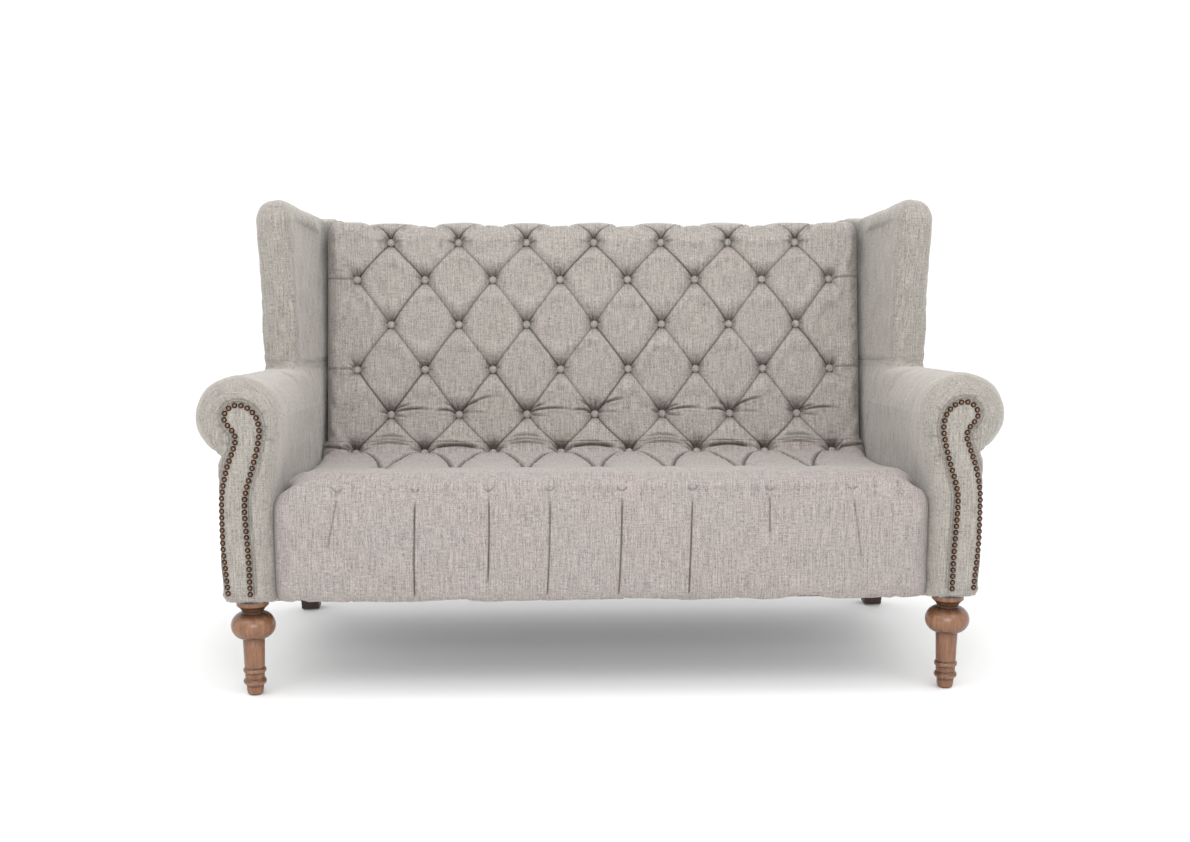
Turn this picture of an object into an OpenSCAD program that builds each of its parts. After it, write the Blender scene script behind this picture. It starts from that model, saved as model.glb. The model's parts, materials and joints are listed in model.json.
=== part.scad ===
// Wing-backed two-seat chesterfield sofa with a tufted back and seat, scroll arms and turned front legs.
// X runs to the sitter's left, the front faces -Y, Z is up from the floor.

/* [Overall] */
// Width over the arm scrolls
overall_w = 1700; // [1500:10:2200]
// Depth from the nail heads to the top of the outside back
overall_d = 840; // [780:10:920]
// Height to the top of the tufted back
back_h = 992; // [960:2:1060]
// Rise of the wing peak above the back
wing_rise = 61; // [45:1:80]
// Height to the top of the arm scroll at the front
arm_h = 702; // [670:2:730]
// Height to the crown of the seat
seat_h = 488; // [470:1:500]

/* [Back] */
// Rake of the inside back, degrees
back_rake = 11.7; // [10:0.1:13]
// Rake of the outside back, degrees
outside_rake = 6.3; // [5:0.1:7]
// Depth from the back's button line at the seat to the top of the outside back
back_depth = 251; // [246:1:262]
// Height where the seat and the back meet
seam_h = 455; // [445:1:460]
// Thickness of the back padding behind its buttons
back_pad_t = 60; // [50:1:64]
// How far the puffs of the back stand out from its buttons
back_puff_h = 30; // [20:1:36]
// Thickness of the outside panels
panel_t = 6; // [4:0.5:8]

/* [Tufting] */
// Distance between buttons along a row
button_pitch = 166; // [150:1:190]
// Distance between rows on the back
row_pitch = 110.5; // [104:0.5:112]
// Distance between the top two rows
top_row_pitch = 92; // [84:1:98]
// Height of the lowest back row above the seam, along the back
low_row = 72.5; // [68:0.5:78]
// Depth of the buttons below the crown of the seat
seat_puff_h = 30; // [20:1:36]
// Depth of the pleats down the seat front
pleat_depth = 6; // [3:0.5:9]
// Radius of a covered button
button_r = 9.5; // [8:0.5:10.5]
// Height of a covered button
button_h = 4.5; // [3:0.5:6]

/* [Arms] */
// Radius of the arm scroll
roll_r = 85; // [78:1:90]
// Taper of each arm towards the back, degrees
arm_taper = 3.05; // [2:0.05:3.5]
// Fall of the arm towards the back, degrees
arm_fall = 5.3; // [4:0.1:6]
// Distance from the scroll's centre to the inside face of the arm
arm_in = 70; // [66:1:74]
// Distance from the scroll's centre to the outside face of the arm
arm_out = 41; // [39:1:44]
// Thickness of the arm padding
arm_pad_t = 28; // [24:1:30]
// Rounding of the arm padding behind its front edge
arm_round = 50; // [47:1:56]
// Thickness of the covered facing panel
facing_t = 12; // [9:1:14]
// Radius of a nail head
nail_r = 6; // [4.5:0.25:6.25]
// How far a nail head stands out
nail_h = 4; // [3:0.25:5]
// Distance between nails
nail_pitch = 13.5; // [13:0.25:16]

/* [Wings] */
// Splay of the wings, degrees
wing_splay = 14; // [12:0.5:15]
// Outward lean of the wings, degrees
wing_lean = 2.3; // [1.5:0.1:2.6]
// Reach of the wing in front of the back padding
wing_w = 184; // [160:2:200]
// Thickness of the wing padding
wing_pad_t = 25; // [22:1:28]
// Thickness of the wing board
wing_board_t = 24; // [18:1:26]

/* [Frame] */
// Thickness of the seat rails
rail_t = 32; // [26:1:36]
// Height of the seat rails
rail_h = 110; // [90:1:115]
// Width of a frame post
post_w = 45; // [38:1:48]
// Thickness of the scroll board
board_t = 22; // [18:1:24]
// Number of springs
spring_count = 10; // [8:1:12]
// Thickness of the spring wire
spring_wire = 4; // [3.2:0.1:4.4]
// Radius of a dowel
dowel_r = 5; // [4:0.5:6]
// Length of a dowel
dowel_l = 50; // [40:1:60]

/* [Legs] */
// Height of the wooden legs
leg_h = 206; // [190:1:214]
// Radius of the bulb on a front leg
bulb_r = 45; // [38:1:48]
// Width of a rear leg at the top
rear_leg_w = 60; // [50:1:62]
// How far a rear leg kicks back
rear_kick = 30; // [15:1:40]
// Radius of a leg bolt
bolt_r = 5; // [4:0.5:6]
// Thickness of the leg plates
plate_t = 3; // [2:0.5:4]

/* [Hidden] */
fabric = [0.75, 0.72, 0.68];
trim_fabric = [0.70, 0.68, 0.63];
oak = [0.56, 0.41, 0.29];
dark_oak = [0.27, 0.2, 0.15];
beech = [0.82, 0.69, 0.5];
steel = [0.5, 0.5, 0.52];
bronze = [0.55, 0.38, 0.24];
hemp = [0.66, 0.58, 0.45];

// Clearances between pieces, and how far a cut runs past what it cuts
clear = 0.3;
seam_clear = 1.5;
overrun = 5;
round_fn = 64;

// Heights of the frame
glide_h = 3;
under_z = glide_h + leg_h + plate_t;
rail_z = under_z + rail_h;
clip_h = 2;
insulator_t = 2;
deck_z = rail_z + spring_wire + clip_h + insulator_t;
cover_t = 1.5;
seat_hem_rise = 9;
seat_hem_z = under_z + seat_hem_rise;
arm_hem_rise = 10;
arm_hem_z = under_z + arm_hem_rise;
top_roll_drop = 20;
out_top_z = back_h - top_roll_drop;
top_pad_t = 37;
rail_top_z = back_h - top_pad_t;

// Depths
front_y = -overall_d / 2 + nail_h;
back_y = overall_d / 2 - back_depth;
seat_depth = back_y - front_y;
hessian_t = 1.5;
webbing_t = 2.5;
frame_gap = back_pad_t + hessian_t + webbing_t;
seat_front_in = 8;
front_pad_t = 44;
rail_y = front_y + front_pad_t + clear;
board_y = front_y + facing_t + 2 * clear;
post_y = board_y + board_t;
post_end_y = post_y + post_w;
cloth_y = 12;

function tuft_y(z) = back_y + (z - seam_h) * tan(back_rake);
function frame_y(z) = tuft_y(z) + frame_gap / cos(back_rake);
function out_y(z) = overall_d / 2 - (out_top_z - z) * tan(outside_rake);
function inner_out_y(z) = out_y(z) - panel_t / cos(outside_rake);
arm_front_x = overall_w / 2 - roll_r;
function arm_x(y) = arm_front_x - (y - front_y - arm_round) * tan(arm_taper);
function roll_z(y) = arm_h - roll_r - (y - front_y) * tan(arm_fall);
// Where a line that runs a fixed drop below the scroll's centre meets the inside of the outside back
function meet_y(drop) = let (k = tan(arm_fall) * tan(outside_rake))
    (inner_out_y(arm_h - roll_r - drop) + k * front_y) / (1 + k);
function mix(a, b, t) = a + (b - a) * t;
function clamp(v, lo, hi) = min(hi, max(lo, v));
function soft(t) = let (c = clamp(t, 0, 1)) c * c * (3 - 2 * c);

// Where the pieces of an arm lie across it, from the scroll's centre line
frame_in = arm_in - arm_pad_t - clear;
post_out = (roll_r - arm_pad_t) / 4;
rail_in = frame_in - rail_t;
panel_in = arm_out - panel_t - clear;
clip_l = 12;
spring_rail_y = frame_y(rail_z) - clip_l - spring_wire;
rear_post_w = 55;
base_rail_y = inner_out_y(under_z) - rail_t - clear;
rear_post_y = inner_out_y(under_z) - rear_post_w;

// Back widths
shadow_gap = 12;
back_half = arm_x(back_y) - arm_in - shadow_gap;
back_post_w = 54;
back_rail_half = back_half - back_post_w;

module raked() { translate([0, back_y, seam_h]) rotate([-back_rake, 0, 0]) children(); }
module both() { children(); mirror([1, 0, 0]) children(); }
module left_only() { mirror([1, 0, 0]) children(); }

// A solid with a side outline in Y and Z, between two places in X
module side_prism(points, x0, x1) {
    translate([x0, 0, 0]) rotate([90, 0, 90]) linear_extrude(x1 - x0) polygon(points);
}

// A solid with an outline in X and Z, between two places in Y
module front_prism(points, y0, y1) {
    translate([0, y1, 0]) rotate([90, 0, 0]) linear_extrude(y1 - y0) polygon(points);
}

// A bar that follows the taper of an arm, from u0 to u1 across it, cut to a side outline
module arm_bar(u0, u1, points) {
    ys = [for (p = points) p[0]];
    y0 = min(ys) - overrun;
    y1 = max(ys) + overrun;
    zs = [for (p = points) p[1]];
    intersection() {
        translate([0, 0, min(zs) - overrun]) linear_extrude(max(zs) - min(zs) + 2 * overrun)
            polygon([[arm_x(y0) + u0, y0], [arm_x(y0) + u1, y0], [arm_x(y1) + u1, y1],
                [arm_x(y1) + u0, y1]]);
        side_prism(points, arm_x(y1) + u0 - overrun, arm_x(y0) + u1 + overrun);
    }
}

// A lofted solid: each ring has n points outside and m points inside, near[i] is the inside point
// that an outside point faces, and lean(k, j) says which way a cell is split
function band_faces(rings, n, m, near, lean) = let (w = n + m) concat(
    [for (k = [0:rings - 2], j = [0:w - 1]) let (a = k * w + j, b = k * w + (j + 1) % w, c = a + w,
        d = b + w)
        each lean(k, j) ? [[a, b, d], [a, d, c]] : [[a, b, c], [b, d, c]]],
    [for (i = [0:n - 2]) each cap_faces(i, n, m, near, 0, false)],
    [for (i = [0:n - 2]) each cap_faces(i, n, m, near, (rings - 1) * w, true)]);
function cap_faces(i, n, m, near, base, far) = let (
    in_a = base + n + m - 1 - near[i], in_b = base + n + m - 1 - near[i + 1],
    first = [base + i, in_a, base + i + 1], second = [base + i + 1, in_a, in_b])
    [far ? [first[0], first[2], first[1]] : first,
     if (near[i + 1] > near[i]) far ? [second[0], second[2], second[1]] : second];
module band(rings, n, near, lean = function(k, j) true, flip = false) {
    m = len(rings[0]) - n;
    faces = band_faces(len(rings), n, m, near, lean);
    polyhedron([for (r = rings) each r], flip ? [for (f = faces) [f[0], f[2], f[1]]] : faces,
        convexity = 10);
}

// Tufting: a and b count the fold lines that lean each way, buttons lie where both are whole
function off_line(t) = abs(t - round(t));
function fold_a(x, s) = x / button_pitch + s / 2;
function fold_b(x, s) = x / button_pitch - s / 2;
crease_share = 0.5;
puff_power = 0.4;
function puff(x, s) = let (
    a = off_line(fold_a(x, s)), b = off_line(fold_b(x, s)),
    crown = pow(sin(180 * a) * sin(180 * b), puff_power),
    pit = max(0, 1 - 4 * (a + b)))
    1 - crease_share * (1 - crown) - (1 - crease_share) * pit;
function leans(x, s) = off_line(fold_a(x, s)) < off_line(fold_b(x, s));

// Columns of the tufted pads: a quarter pitch apart, then the rounded sides
column = button_pitch / 4;
side_round = 14;
function columns(half) = let (last = floor((half - 1.5 * side_round) / column))
    [for (c = [-last:last]) c * column];
function button_xs(half, row) = let (shift = row % 2 == 0 ? 0 : 0.5, edge = half - button_pitch * 0.36,
    last = floor(edge / button_pitch - shift)) [for (k = [-last - 2 * shift:last]) (k + shift)
        * button_pitch];

// Back pad: its rows up the back, in the raked frame, with the tuft count s of each
back_rows = 5;
function row_z(s) = s <= 1 ? low_row + 3 * row_pitch + (1 - s) * top_row_pitch : low_row + (4 - s)
    * row_pitch;
seam_s = 4 + low_row / row_pitch;
top_front_z = (back_h - seam_h) / cos(back_rake) - back_puff_h * 0.8;
back_low_z = (deck_z + clear + cloth_y - seam_h) / cos(back_rake);
back_path = concat(
    [[cloth_y + clear, back_low_z, 0, seam_s], [cloth_y + clear, -cloth_y, 0, seam_s]],
    [for (h = [2 * back_rows - 1:-1:0]) [0, row_z(h / 2), h / 2 > back_rows - 1 ? 0.6 : 1, h / 2]],
    [[0, top_front_z - back_puff_h * 0.4, 0.8, -0.5]]);
back_top_across_shares = [0.12, 0.3, 0.62, 0.93, 1];
back_top_fall_shares = [0.2, 0, 0, 0.3, 1];
function back_side(half, x) = abs(x) > half - side_round / 2 ? 1 : abs(x) > half - 1.5 * side_round
    ? 0.3 : 0;
function raked_point(x, y, z) = [x, back_y + y * cos(back_rake) + z * sin(back_rake),
    seam_h - y * sin(back_rake) + z * cos(back_rake)];
function back_ring(x, side) = concat(
    [for (p = back_path) let (lift = p[2] * back_puff_h * puff(x, p[3]) * (1 - 0.7 * side))
        raked_point(x, p[0] - lift + (p[2] > 0 ? 0 : side), p[1])],
    [for (i = [0:len(back_top_across_shares) - 1]) let (across = back_top_across_shares[i],
        dip = (1 - puff(x, 0)) * (1 - across) * back_puff_h * 0.3,
        z = back_h - back_top_fall_shares[i] * top_roll_drop - dip - side * top_pad_t * 0.35)
        [x, min(mix(tuft_y(back_h) - back_puff_h * 0.6, inner_out_y(out_top_z), across),
            inner_out_y(z) - clear), z]],
    [[x, inner_out_y(rail_top_z + seam_clear) - clear, rail_top_z + seam_clear],
     [x, frame_y(rail_top_z) - (hessian_t + webbing_t) / cos(back_rake), rail_top_z + seam_clear],
     raked_point(x, back_pad_t - clear, back_low_z)]);
back_n = len(back_path) + len(back_top_across_shares);
back_near = [for (i = [0:back_n - 1]) i < len(back_path) - 1 ? 0 : i < back_n - 2 ? 1 : 2];

// Seat pad: its rows from the front hem over the crown to the seam, with the tuft count and depth
seat_crown_y = 70;
seam_setback = 25;
seat_row_y = seat_depth - seam_setback;
seat_edge_y = 25;
seat_span = seat_row_y - seat_edge_y;
row8_drop = 36;
row8_z = seat_h - row8_drop;
seat_turn_y = 38;
seat_turn_drop = 13;
seat_turn_z = seat_h - seat_turn_drop;
seat_belly = 3;
seat_path = [
    [seat_front_in, seat_hem_z, 0, 7], [seat_front_in - seat_belly, mix(seat_hem_z, row8_z, 0.35), 0, 7],
    [seat_front_in - seat_belly, mix(seat_hem_z, row8_z, 0.68), 0, 7], [seat_edge_y, row8_z, 0.2, 7],
    [seat_turn_y, seat_turn_z, 0.2, 6.9], [seat_crown_y, mix(seat_h, seat_turn_z, 0.08), 0.3, 6.75],
    [seat_edge_y + seat_span * 0.25, seat_h, 0.7, 6.5],
    [seat_edge_y + seat_span * 0.5, mix(seat_h, seam_h, 0.2), 1, 6],
    [seat_edge_y + seat_span * 0.75, mix(seat_h, seam_h, 0.5), 0.8, 5.5], [seat_row_y, seam_h, 0.6, 5]];
seat_n = len(seat_path) + 2;
pad_clear = 2 * clear;
side_fall = 44;
side_fall_start = 40;
side_fall_span = 60;
seat_foot_l = 80;
function seat_half(y) = arm_x(y) - arm_in - pad_clear;
function pleat(x) = let (t = off_line(x / button_pitch - 0.5)) max(0, 1 - 5 * t);
function seat_ring(x, side) = let (sx = x > 0 ? 1 : -1,
    pick = function(y) side == 0 ? x : sx * (seat_half(y) - (side < 1 ? side_round : 0)))
    concat(
        [for (p = seat_path) let (y = front_y + p[0] + (p[2] == 0 ? pleat_depth * pleat(x) : 0)
            + side * side_round,
            drop = p[2] * seat_puff_h * (1 - puff(x, p[3])) * (side > 0 ? 0 : 1),
            fall = side * side_fall * soft((p[1] - row8_z + side_fall_start) / side_fall_span))
            [pick(y), min(y, tuft_y(p[1])), p[1] - drop - fall]],
        [for (z = [seam_h - cloth_y * (1.4 + 1.6 * side), deck_z]) let (y = tuft_y(z) + cloth_y)
            [pick(y), y, z]],
        [[pick(tuft_y(deck_z)), tuft_y(deck_z) - seat_foot_l, deck_z],
            [pick(rail_y), front_y + front_pad_t, deck_z],
         [pick(rail_y), front_y + front_pad_t, seat_hem_z]]);
seat_near = [for (i = [0:seat_n - 1]) i < 3 ? 0 : i < 8 ? 1 : 2];

// Facing outline, up the inside line of nails, round the scroll and down the outside line, as shares
// of the scroll's radius across and of the arm's height up
facing_shares = [[-0.21, 0.05], [-0.20, 0.18], [-0.15, 0.36], [-0.14, 0.45], [-0.21, 0.52], [-0.38, 0.616],
    [-0.52, 0.71], [-0.56, 0.77], [-0.48, 0.827], [-0.27, 0.865], [0, 0.875], [0.22, 0.852], [0.28, 0.816],
    [0.18, 0.784], [0.05, 0.755], [0.024, 0.72], [0.094, 0.68], [0.18, 0.641], [0.28, 0.59], [0.40, 0.49],
    [0.42, 0.404], [0.42, 0.261], [0.376, 0.159], [0.33, 0.055]];
loop_knot = 7;
neck_knot = 16;
spline_steps = 4;
nail_edge = nail_r + 0.5;
seam_w = 2.5;
facing_last = len(facing_shares) - 1;
function knot(i) = let (s = facing_shares[clamp(i, 0, facing_last)])
    [s[0] * roll_r, under_z + s[1] * (arm_h - under_z)];
function spline(t) = let (i = min(floor(t), facing_last - 1), f = t - i, p0 = knot(i - 1), p1 = knot(i),
    p2 = knot(i + 1), p3 = knot(i + 2))
    (2 * p1 + (p2 - p0) * f + (2 * p0 - 5 * p1 + 4 * p2 - p3) * f * f + (3 * p1 - p0 - 3 * p2 + p3)
        * f * f * f) / 2;
nail_line = [for (i = [0:facing_last * spline_steps]) spline(i / spline_steps)];
line_last = len(nail_line) - 1;
function beside(i, off) = let (a = nail_line[max(0, i - 1)], b = nail_line[min(line_last, i + 1)],
    t = (b - a) / norm(b - a))
    nail_line[i] + off * [-t[1], t[0]];
function at_line(t, off) = let (i = floor(t), f = t - i)
    mix(beside(i, off), beside(min(line_last, i + 1), off), f);
line_length = [for (i = 0, sum = 0; i <= line_last;
    sum = sum + (i < line_last ? norm(nail_line[i + 1] - nail_line[i]) : 0),
    i = i + 1) sum];
along_u = [for (i = [0:line_last]) [line_length[i], nail_line[i][0]]];
along_z = [for (i = [0:line_last]) [line_length[i], nail_line[i][1]]];

// Arm pad: a band from the inside of the arm over the scroll to its underside
wall_n = 6;
roll_n = 18;
arm_n = wall_n + roll_n;
roll_step = 15;
square_power = 6;
lean_drop = 15;
function wall_u(z, y) = let (lean_z = seam_h - lean_drop, t = soft((z - lean_z) / (roll_z(y) - lean_z)))
    mix(arm_in, scroll_in(y), t);
function scroll_in(y) = mix(roll_r, arm_in, soft((y - front_y - arm_round) / (seat_depth - arm_round)));
function square_power_at(y) = 2 + (square_power - 2) * soft((y - wing_front_y + roll_r) / roll_r);
function roll_point(i, y, r_in, r) = let (angle = 180 - i * roll_step, c = cos(angle), s = sin(angle),
    e = 2 / square_power_at(y))
    angle > 90 ? [-r_in * pow(-c, e), roll_z(y) + r * pow(s, e)] : [r * c, roll_z(y) + r * s];
function outer_point(i, y, hem) = i < wall_n ? let (z = mix(hem, roll_z(y), i / wall_n)) [-wall_u(z, y), z]
    : roll_point(i - wall_n, y, scroll_in(y), roll_r);
vertex_r = (roll_r - arm_pad_t) / cos(roll_step / 2) + clear;
function inner_point(i, y, hem) = i < wall_n ? [-frame_in - clear, mix(hem, roll_z(y), i / wall_n)]
    : let (p = roll_point(i - wall_n, y, frame_in + clear, vertex_r)) [max(p[0], -vertex_r), p[1]];
function facing_point(i, off) = let (t = i < wall_n ? mix(0, loop_knot, i / wall_n)
    : mix(loop_knot, neck_knot, (i - wall_n) / (roll_n - 1)),
        p = at_line(t * spline_steps, nail_edge + off))
    i == 0 ? [p[0], arm_hem_z] : p;
facing_points = concat([for (i = [0:arm_n - 1]) facing_point(i, 0)],
    [for (i = [neck_knot * spline_steps + 1:line_last]) beside(i, nail_edge)],
    [[nail_line[line_last][0] + nail_edge, arm_hem_z]]);
function arm_ring(d, hem, facing_inside) = let (y = front_y + d,
    t = sin(acos(clamp(1 - d / arm_round, 0, 1))),
    cavity_y = max(y, post_y))
    concat(
        [for (i = [0:arm_n - 1]) let (p = mix(facing_point(i, seam_w), outer_point(i, y, hem), t))
            [mix(arm_front_x, arm_x(y), t) + p[0], y, p[1]]],
        [for (i = [arm_n - 1:-1:0]) let (p = facing_inside ? facing_point(i, clear)
            : inner_point(i, cavity_y, hem))
            [(facing_inside ? arm_front_x : arm_x(cavity_y)) + p[0], y, p[1]]]);
function arm_rear_ring(share) = let (
    place = function(f, i) let (y0 = mix(front_y + arm_round, inner_out_y(roll_z(back_y)), share),
        p = f(i, y0, deck_z), y = mix(front_y + arm_round, inner_out_y(p[1]) - clear, share))
        [arm_x(y) + p[0], y, p[1]])
    concat([for (i = [0:arm_n - 1]) place(function(i, y, h) outer_point(i, y, h), i)],
        [for (i = [arm_n - 1:-1:0]) place(function(i, y, h) inner_point(i, y, h), i)]);

// Wing: local x runs outwards through its thickness, local y backwards, local z up its height
wing_base_y = tuft_y(arm_h) - back_puff_h;
wing_base = [back_half + shadow_gap * 0.6, wing_base_y, roll_z(wing_base_y) + roll_r];
wing_t = wing_pad_t + wing_board_t + panel_t + 2 * clear;
wing_front_y = wing_base_y - wing_w * cos(wing_splay);
wing_h = (back_h + wing_rise - wing_base[2]) / cos(wing_lean);
edge_pad = wing_t * 0.4;
wing_shares = [[1.00, 0.05], [0.97, 0.16], [0.955, 0.34], [0.96, 0.52], [0.975, 0.70], [0.995, 0.83],
    [0.985, 0.91], [0.93, 0.965], [0.82, 0.993], [0.66, 1.00], [0.46, 0.985], [0.23, 0.957], [0, 0.93],
    [-0.35, 0.89], [-0.7, 0.85]];
wing_last = len(wing_shares) - 1;
function wing_world(p) = let (c = p[0] * cos(wing_lean) + p[2] * sin(wing_lean))
    wing_base + [c * cos(wing_splay) - p[1] * sin(wing_splay), c * sin(wing_splay) + p[1] * cos(wing_splay),
        p[2] * cos(wing_lean) - p[0] * sin(wing_lean)];
function wing_rear_y(x, z) = let (w = wing_world([x, 0, z]), c = x * cos(wing_lean) + z * sin(wing_lean))
    (frame_y(w[2]) - pad_clear - wing_base[1] - c * sin(wing_splay)) / cos(wing_splay);
function wing_floor(y) = -y * tan(arm_fall) * cos(wing_splay) + seam_clear;
wing_end_z = wing_shares[wing_last][1] * wing_h;
function wing_edge(i) = let (s = wing_shares[i]) i == wing_last ? [wing_rear_y(0, wing_end_z), wing_end_z]
    : [-wing_w * s[0], i == 0 ? wing_floor(-wing_w) : s[1] * wing_h];
function wing_root_z(i) = mix(wing_floor(wing_rear_y(0, 0)), wing_end_z - 1.2 * wing_t, i / wing_last);
wing_thin = 3;
function wing_face_x(y) = clamp(y * tan(wing_splay), 0, wing_pad_t - wing_thin);
function arm_top(w) = let (u = w[0] - arm_x(w[1]))
    roll_z(w[1]) + roll_r * (u > 0 ? sqrt(max(0, 1 - pow(u / roll_r, 2))) : 1);
function settle(p) = let (w = wing_world(p)) [w[0], w[1], arm_top(w) + seam_clear];
function wing_ring(i) = let (e = wing_edge(i), rz = wing_root_z(i), root = [wing_rear_y(0, rz), rz],
    span = norm(e - root),
    dir = (e - root) / span, r = wing_t / 2,
    face = [for (t = [0, 0.4, 0.78]) let (q = root + dir * t * (span - r)) [wing_face_x(q[0]), q[0], q[1]]],
    bend = [for (a = [0:30:180]) let (q = root + dir * (span - r + r * sin(a)))
        [max(wing_face_x(q[0]), r - r * cos(a)), q[0], q[1]]],
    low = root + dir * (span - edge_pad), end = root + dir * (span - r),
    x_out = wing_pad_t + wing_board_t + clear,
    inside = [[x_out, end[0], end[1]], [x_out, low[0], low[1]], [wing_pad_t - clear, low[0], low[1]],
        [wing_pad_t - clear, wing_rear_y(wing_pad_t, rz), rz]])
    [for (p = concat(face, bend, inside)) i == 0 ? settle(p) : wing_world(p)];
wing_near = [0, 0, 1, 1, 1, 2, 2, 2, 3, 3];
wing_tail_y = wing_rear_y(0, wing_end_z) + seam_clear;
wing_far_y = wing_tail_y + wing_t * 3;
function wing_profile(inset) = concat(
    [for (i = [0:wing_last]) let (e = wing_edge(i), root = [wing_rear_y(0, wing_root_z(i)), wing_root_z(i)],
        dir = (e - root) / norm(e - root)) e - dir * inset],
    [[wing_tail_y, wing_end_z - inset], [wing_tail_y, wing_end_z - seam_clear],
        [wing_far_y, wing_end_z - seam_clear],
     [wing_far_y, wing_floor(wing_w)]]);
module wing_at() {
    translate(wing_base) rotate([0, 0, wing_splay]) rotate([0, wing_lean, 0]) children();
}

// Legs
leg_out = 2;
leg_u = (post_out - frame_in) / 2 + leg_out;
front_leg_y = post_y + post_w / 2;
front_leg_x = arm_x(front_leg_y) + leg_u;
rear_leg_y = rear_post_y + rear_post_w / 2;
rear_leg_x = arm_x(rear_leg_y) + leg_u + rear_leg_w / 6;
bolt_leg_l = 40;
bolt_post_l = 30;
bolt_heads = [[front_leg_x, front_leg_y], [-front_leg_x, front_leg_y], [rear_leg_x, rear_leg_y],
    [-rear_leg_x, rear_leg_y]];
plate_w = 50;
glide_r = 12;
glide_pin_r = 1.5;
glide_pin_l = 14;
pin_fn = 24;
foot_r = bulb_r * 0.4;

module turned_leg() {
    h = leg_h;
    difference() {
        translate([0, 0, glide_h]) rotate_extrude($fn = round_fn) difference() {
            union() {
                polygon([[0, 0], [foot_r * 0.92, 0], [foot_r, 0.03 * h], [foot_r * 1.05, 0.09 * h],
                    [foot_r * 1.1, 0.1 * h],
                    [foot_r * 1.1, 0.16 * h], [foot_r * 1.17, 0.17 * h], [foot_r * 1.17, 0.23 * h],
                        [foot_r * 1.17, 0.26 * h],
                    [foot_r * 1.2, 0.28 * h], [foot_r * 1.33, 0.62 * h], [foot_r * 1.5, 0.66 * h],
                    [foot_r * 1.33, 0.83 * h], [foot_r * 1.25, 0.885 * h], [foot_r * 1.5, 0.92 * h],
                    [foot_r * 1.92, 0.955 * h], [foot_r * 1.92, h], [0, h]]);
                translate([bulb_r * 0.42, 0.735 * h]) scale(0.14 * h) translate([0, 0])
                    circle(1, $fn = round_fn);
                translate([0, 0.735 * h - 0.105 * h]) square([bulb_r * 0.42, 0.21 * h]);
                translate([foot_r * 0.98, 0.13 * h]) circle(bulb_r * 0.16, $fn = round_fn);
                translate([foot_r * 0.98, 0.25 * h]) circle(bulb_r * 0.16, $fn = round_fn);
            }
            translate([-bulb_r * 2, -h]) square([bulb_r * 2, 3 * h]);
        }
        translate([0, 0, glide_h + h - bolt_leg_l - clear]) cylinder(h = bolt_leg_l + overrun,
            r = bolt_r + clear, $fn = round_fn);
        translate([0, 0, glide_h - overrun]) cylinder(h = glide_pin_l + overrun + clear,
            r = glide_pin_r + clear / 2, $fn = pin_fn);
    }
}

module square_leg() {
    foot = rear_leg_w * 0.72;
    half = rear_leg_w / 2;
    difference() {
        intersection() {
            side_prism([[rear_kick - foot / 2, glide_h], [rear_kick + foot / 2, glide_h],
                [half, glide_h + leg_h],
                [-half, glide_h + leg_h]], -half, half);
            front_prism([[-foot / 2, glide_h], [foot / 2, glide_h], [half, glide_h + leg_h],
                [-half, glide_h + leg_h]],
                -rear_leg_w, rear_leg_w + rear_kick);
        }
        translate([0, 0, glide_h + leg_h - bolt_leg_l - clear]) cylinder(h = bolt_leg_l + overrun,
            r = bolt_r + clear, $fn = round_fn);
        translate([0, rear_kick, glide_h - overrun]) cylinder(h = glide_pin_l + overrun + clear,
            r = glide_pin_r + clear / 2, $fn = pin_fn);
    }
}

module bolt_bore() {
    translate([0, 0, under_z - overrun]) cylinder(h = bolt_post_l + overrun + clear, r = bolt_r + clear,
        $fn = round_fn);
}

// Legs, bolts, plates and glides
module front_leg_right() color(oak) translate([front_leg_x, front_leg_y, 0]) turned_leg();
module front_leg_left() left_only() front_leg_right();
module rear_leg_right() color(dark_oak) translate([rear_leg_x, rear_leg_y, 0]) square_leg();
module rear_leg_left() left_only() rear_leg_right();
module leg_bolts() color(steel) for (p = bolt_heads)
    translate([p[0], p[1], under_z - plate_t - bolt_leg_l])
        cylinder(h = bolt_leg_l + plate_t + bolt_post_l, r = bolt_r, $fn = round_fn);
module leg_plates() color(steel) for (p = bolt_heads) difference() {
    translate([p[0] - plate_w / 2, p[1] - plate_w / 2, under_z - plate_t])
        cube([plate_w, plate_w, plate_t]);
    translate([p[0], p[1], under_z - plate_t - overrun]) cylinder(h = plate_t + 2 * overrun,
        r = bolt_r + clear, $fn = round_fn);
}
module glides() color(dark_oak) for (p = bolt_heads)
    translate([p[0], p[1] + (p[1] > 0 ? rear_kick : 0), 0]) {
    cylinder(h = glide_h, r = glide_r, $fn = round_fn);
    cylinder(h = glide_h + glide_pin_l, r = glide_pin_r, $fn = pin_fn);
}

// Dowels: each has a place, and whether it runs along X
dowel_zs = [under_z + rail_h * 0.42, under_z + rail_h * 0.86];
side_dowel_zs = [under_z + rail_h * 0.14, under_z + rail_h * 0.64];
side_dowel_u = -frame_in + rail_t / 2;
dowel_spots = concat(
    [for (z = dowel_zs) [[side_face_x(rail_y + rail_t / 2), rail_y + rail_t / 2, z], true]],
    [for (z = side_dowel_zs) [[arm_x(post_end_y) + side_dowel_u, post_end_y, z], false]],
    [for (z = side_dowel_zs) [[arm_x(rear_post_y) + side_dowel_u, rear_post_y, z], false]]);
module dowel(spot, grow) {
    translate(spot[0]) rotate(spot[1] ? [0, 90, 0] : [90, 0, 0])
        cylinder(h = dowel_l + 2 * grow, r = dowel_r + grow / 2, center = true, $fn = round_fn);
}
module frame_dowels() color(beech) both() for (s = dowel_spots) dowel(s, 0);
module dowel_bores() { for (s = dowel_spots) dowel(s, clear); }

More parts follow.
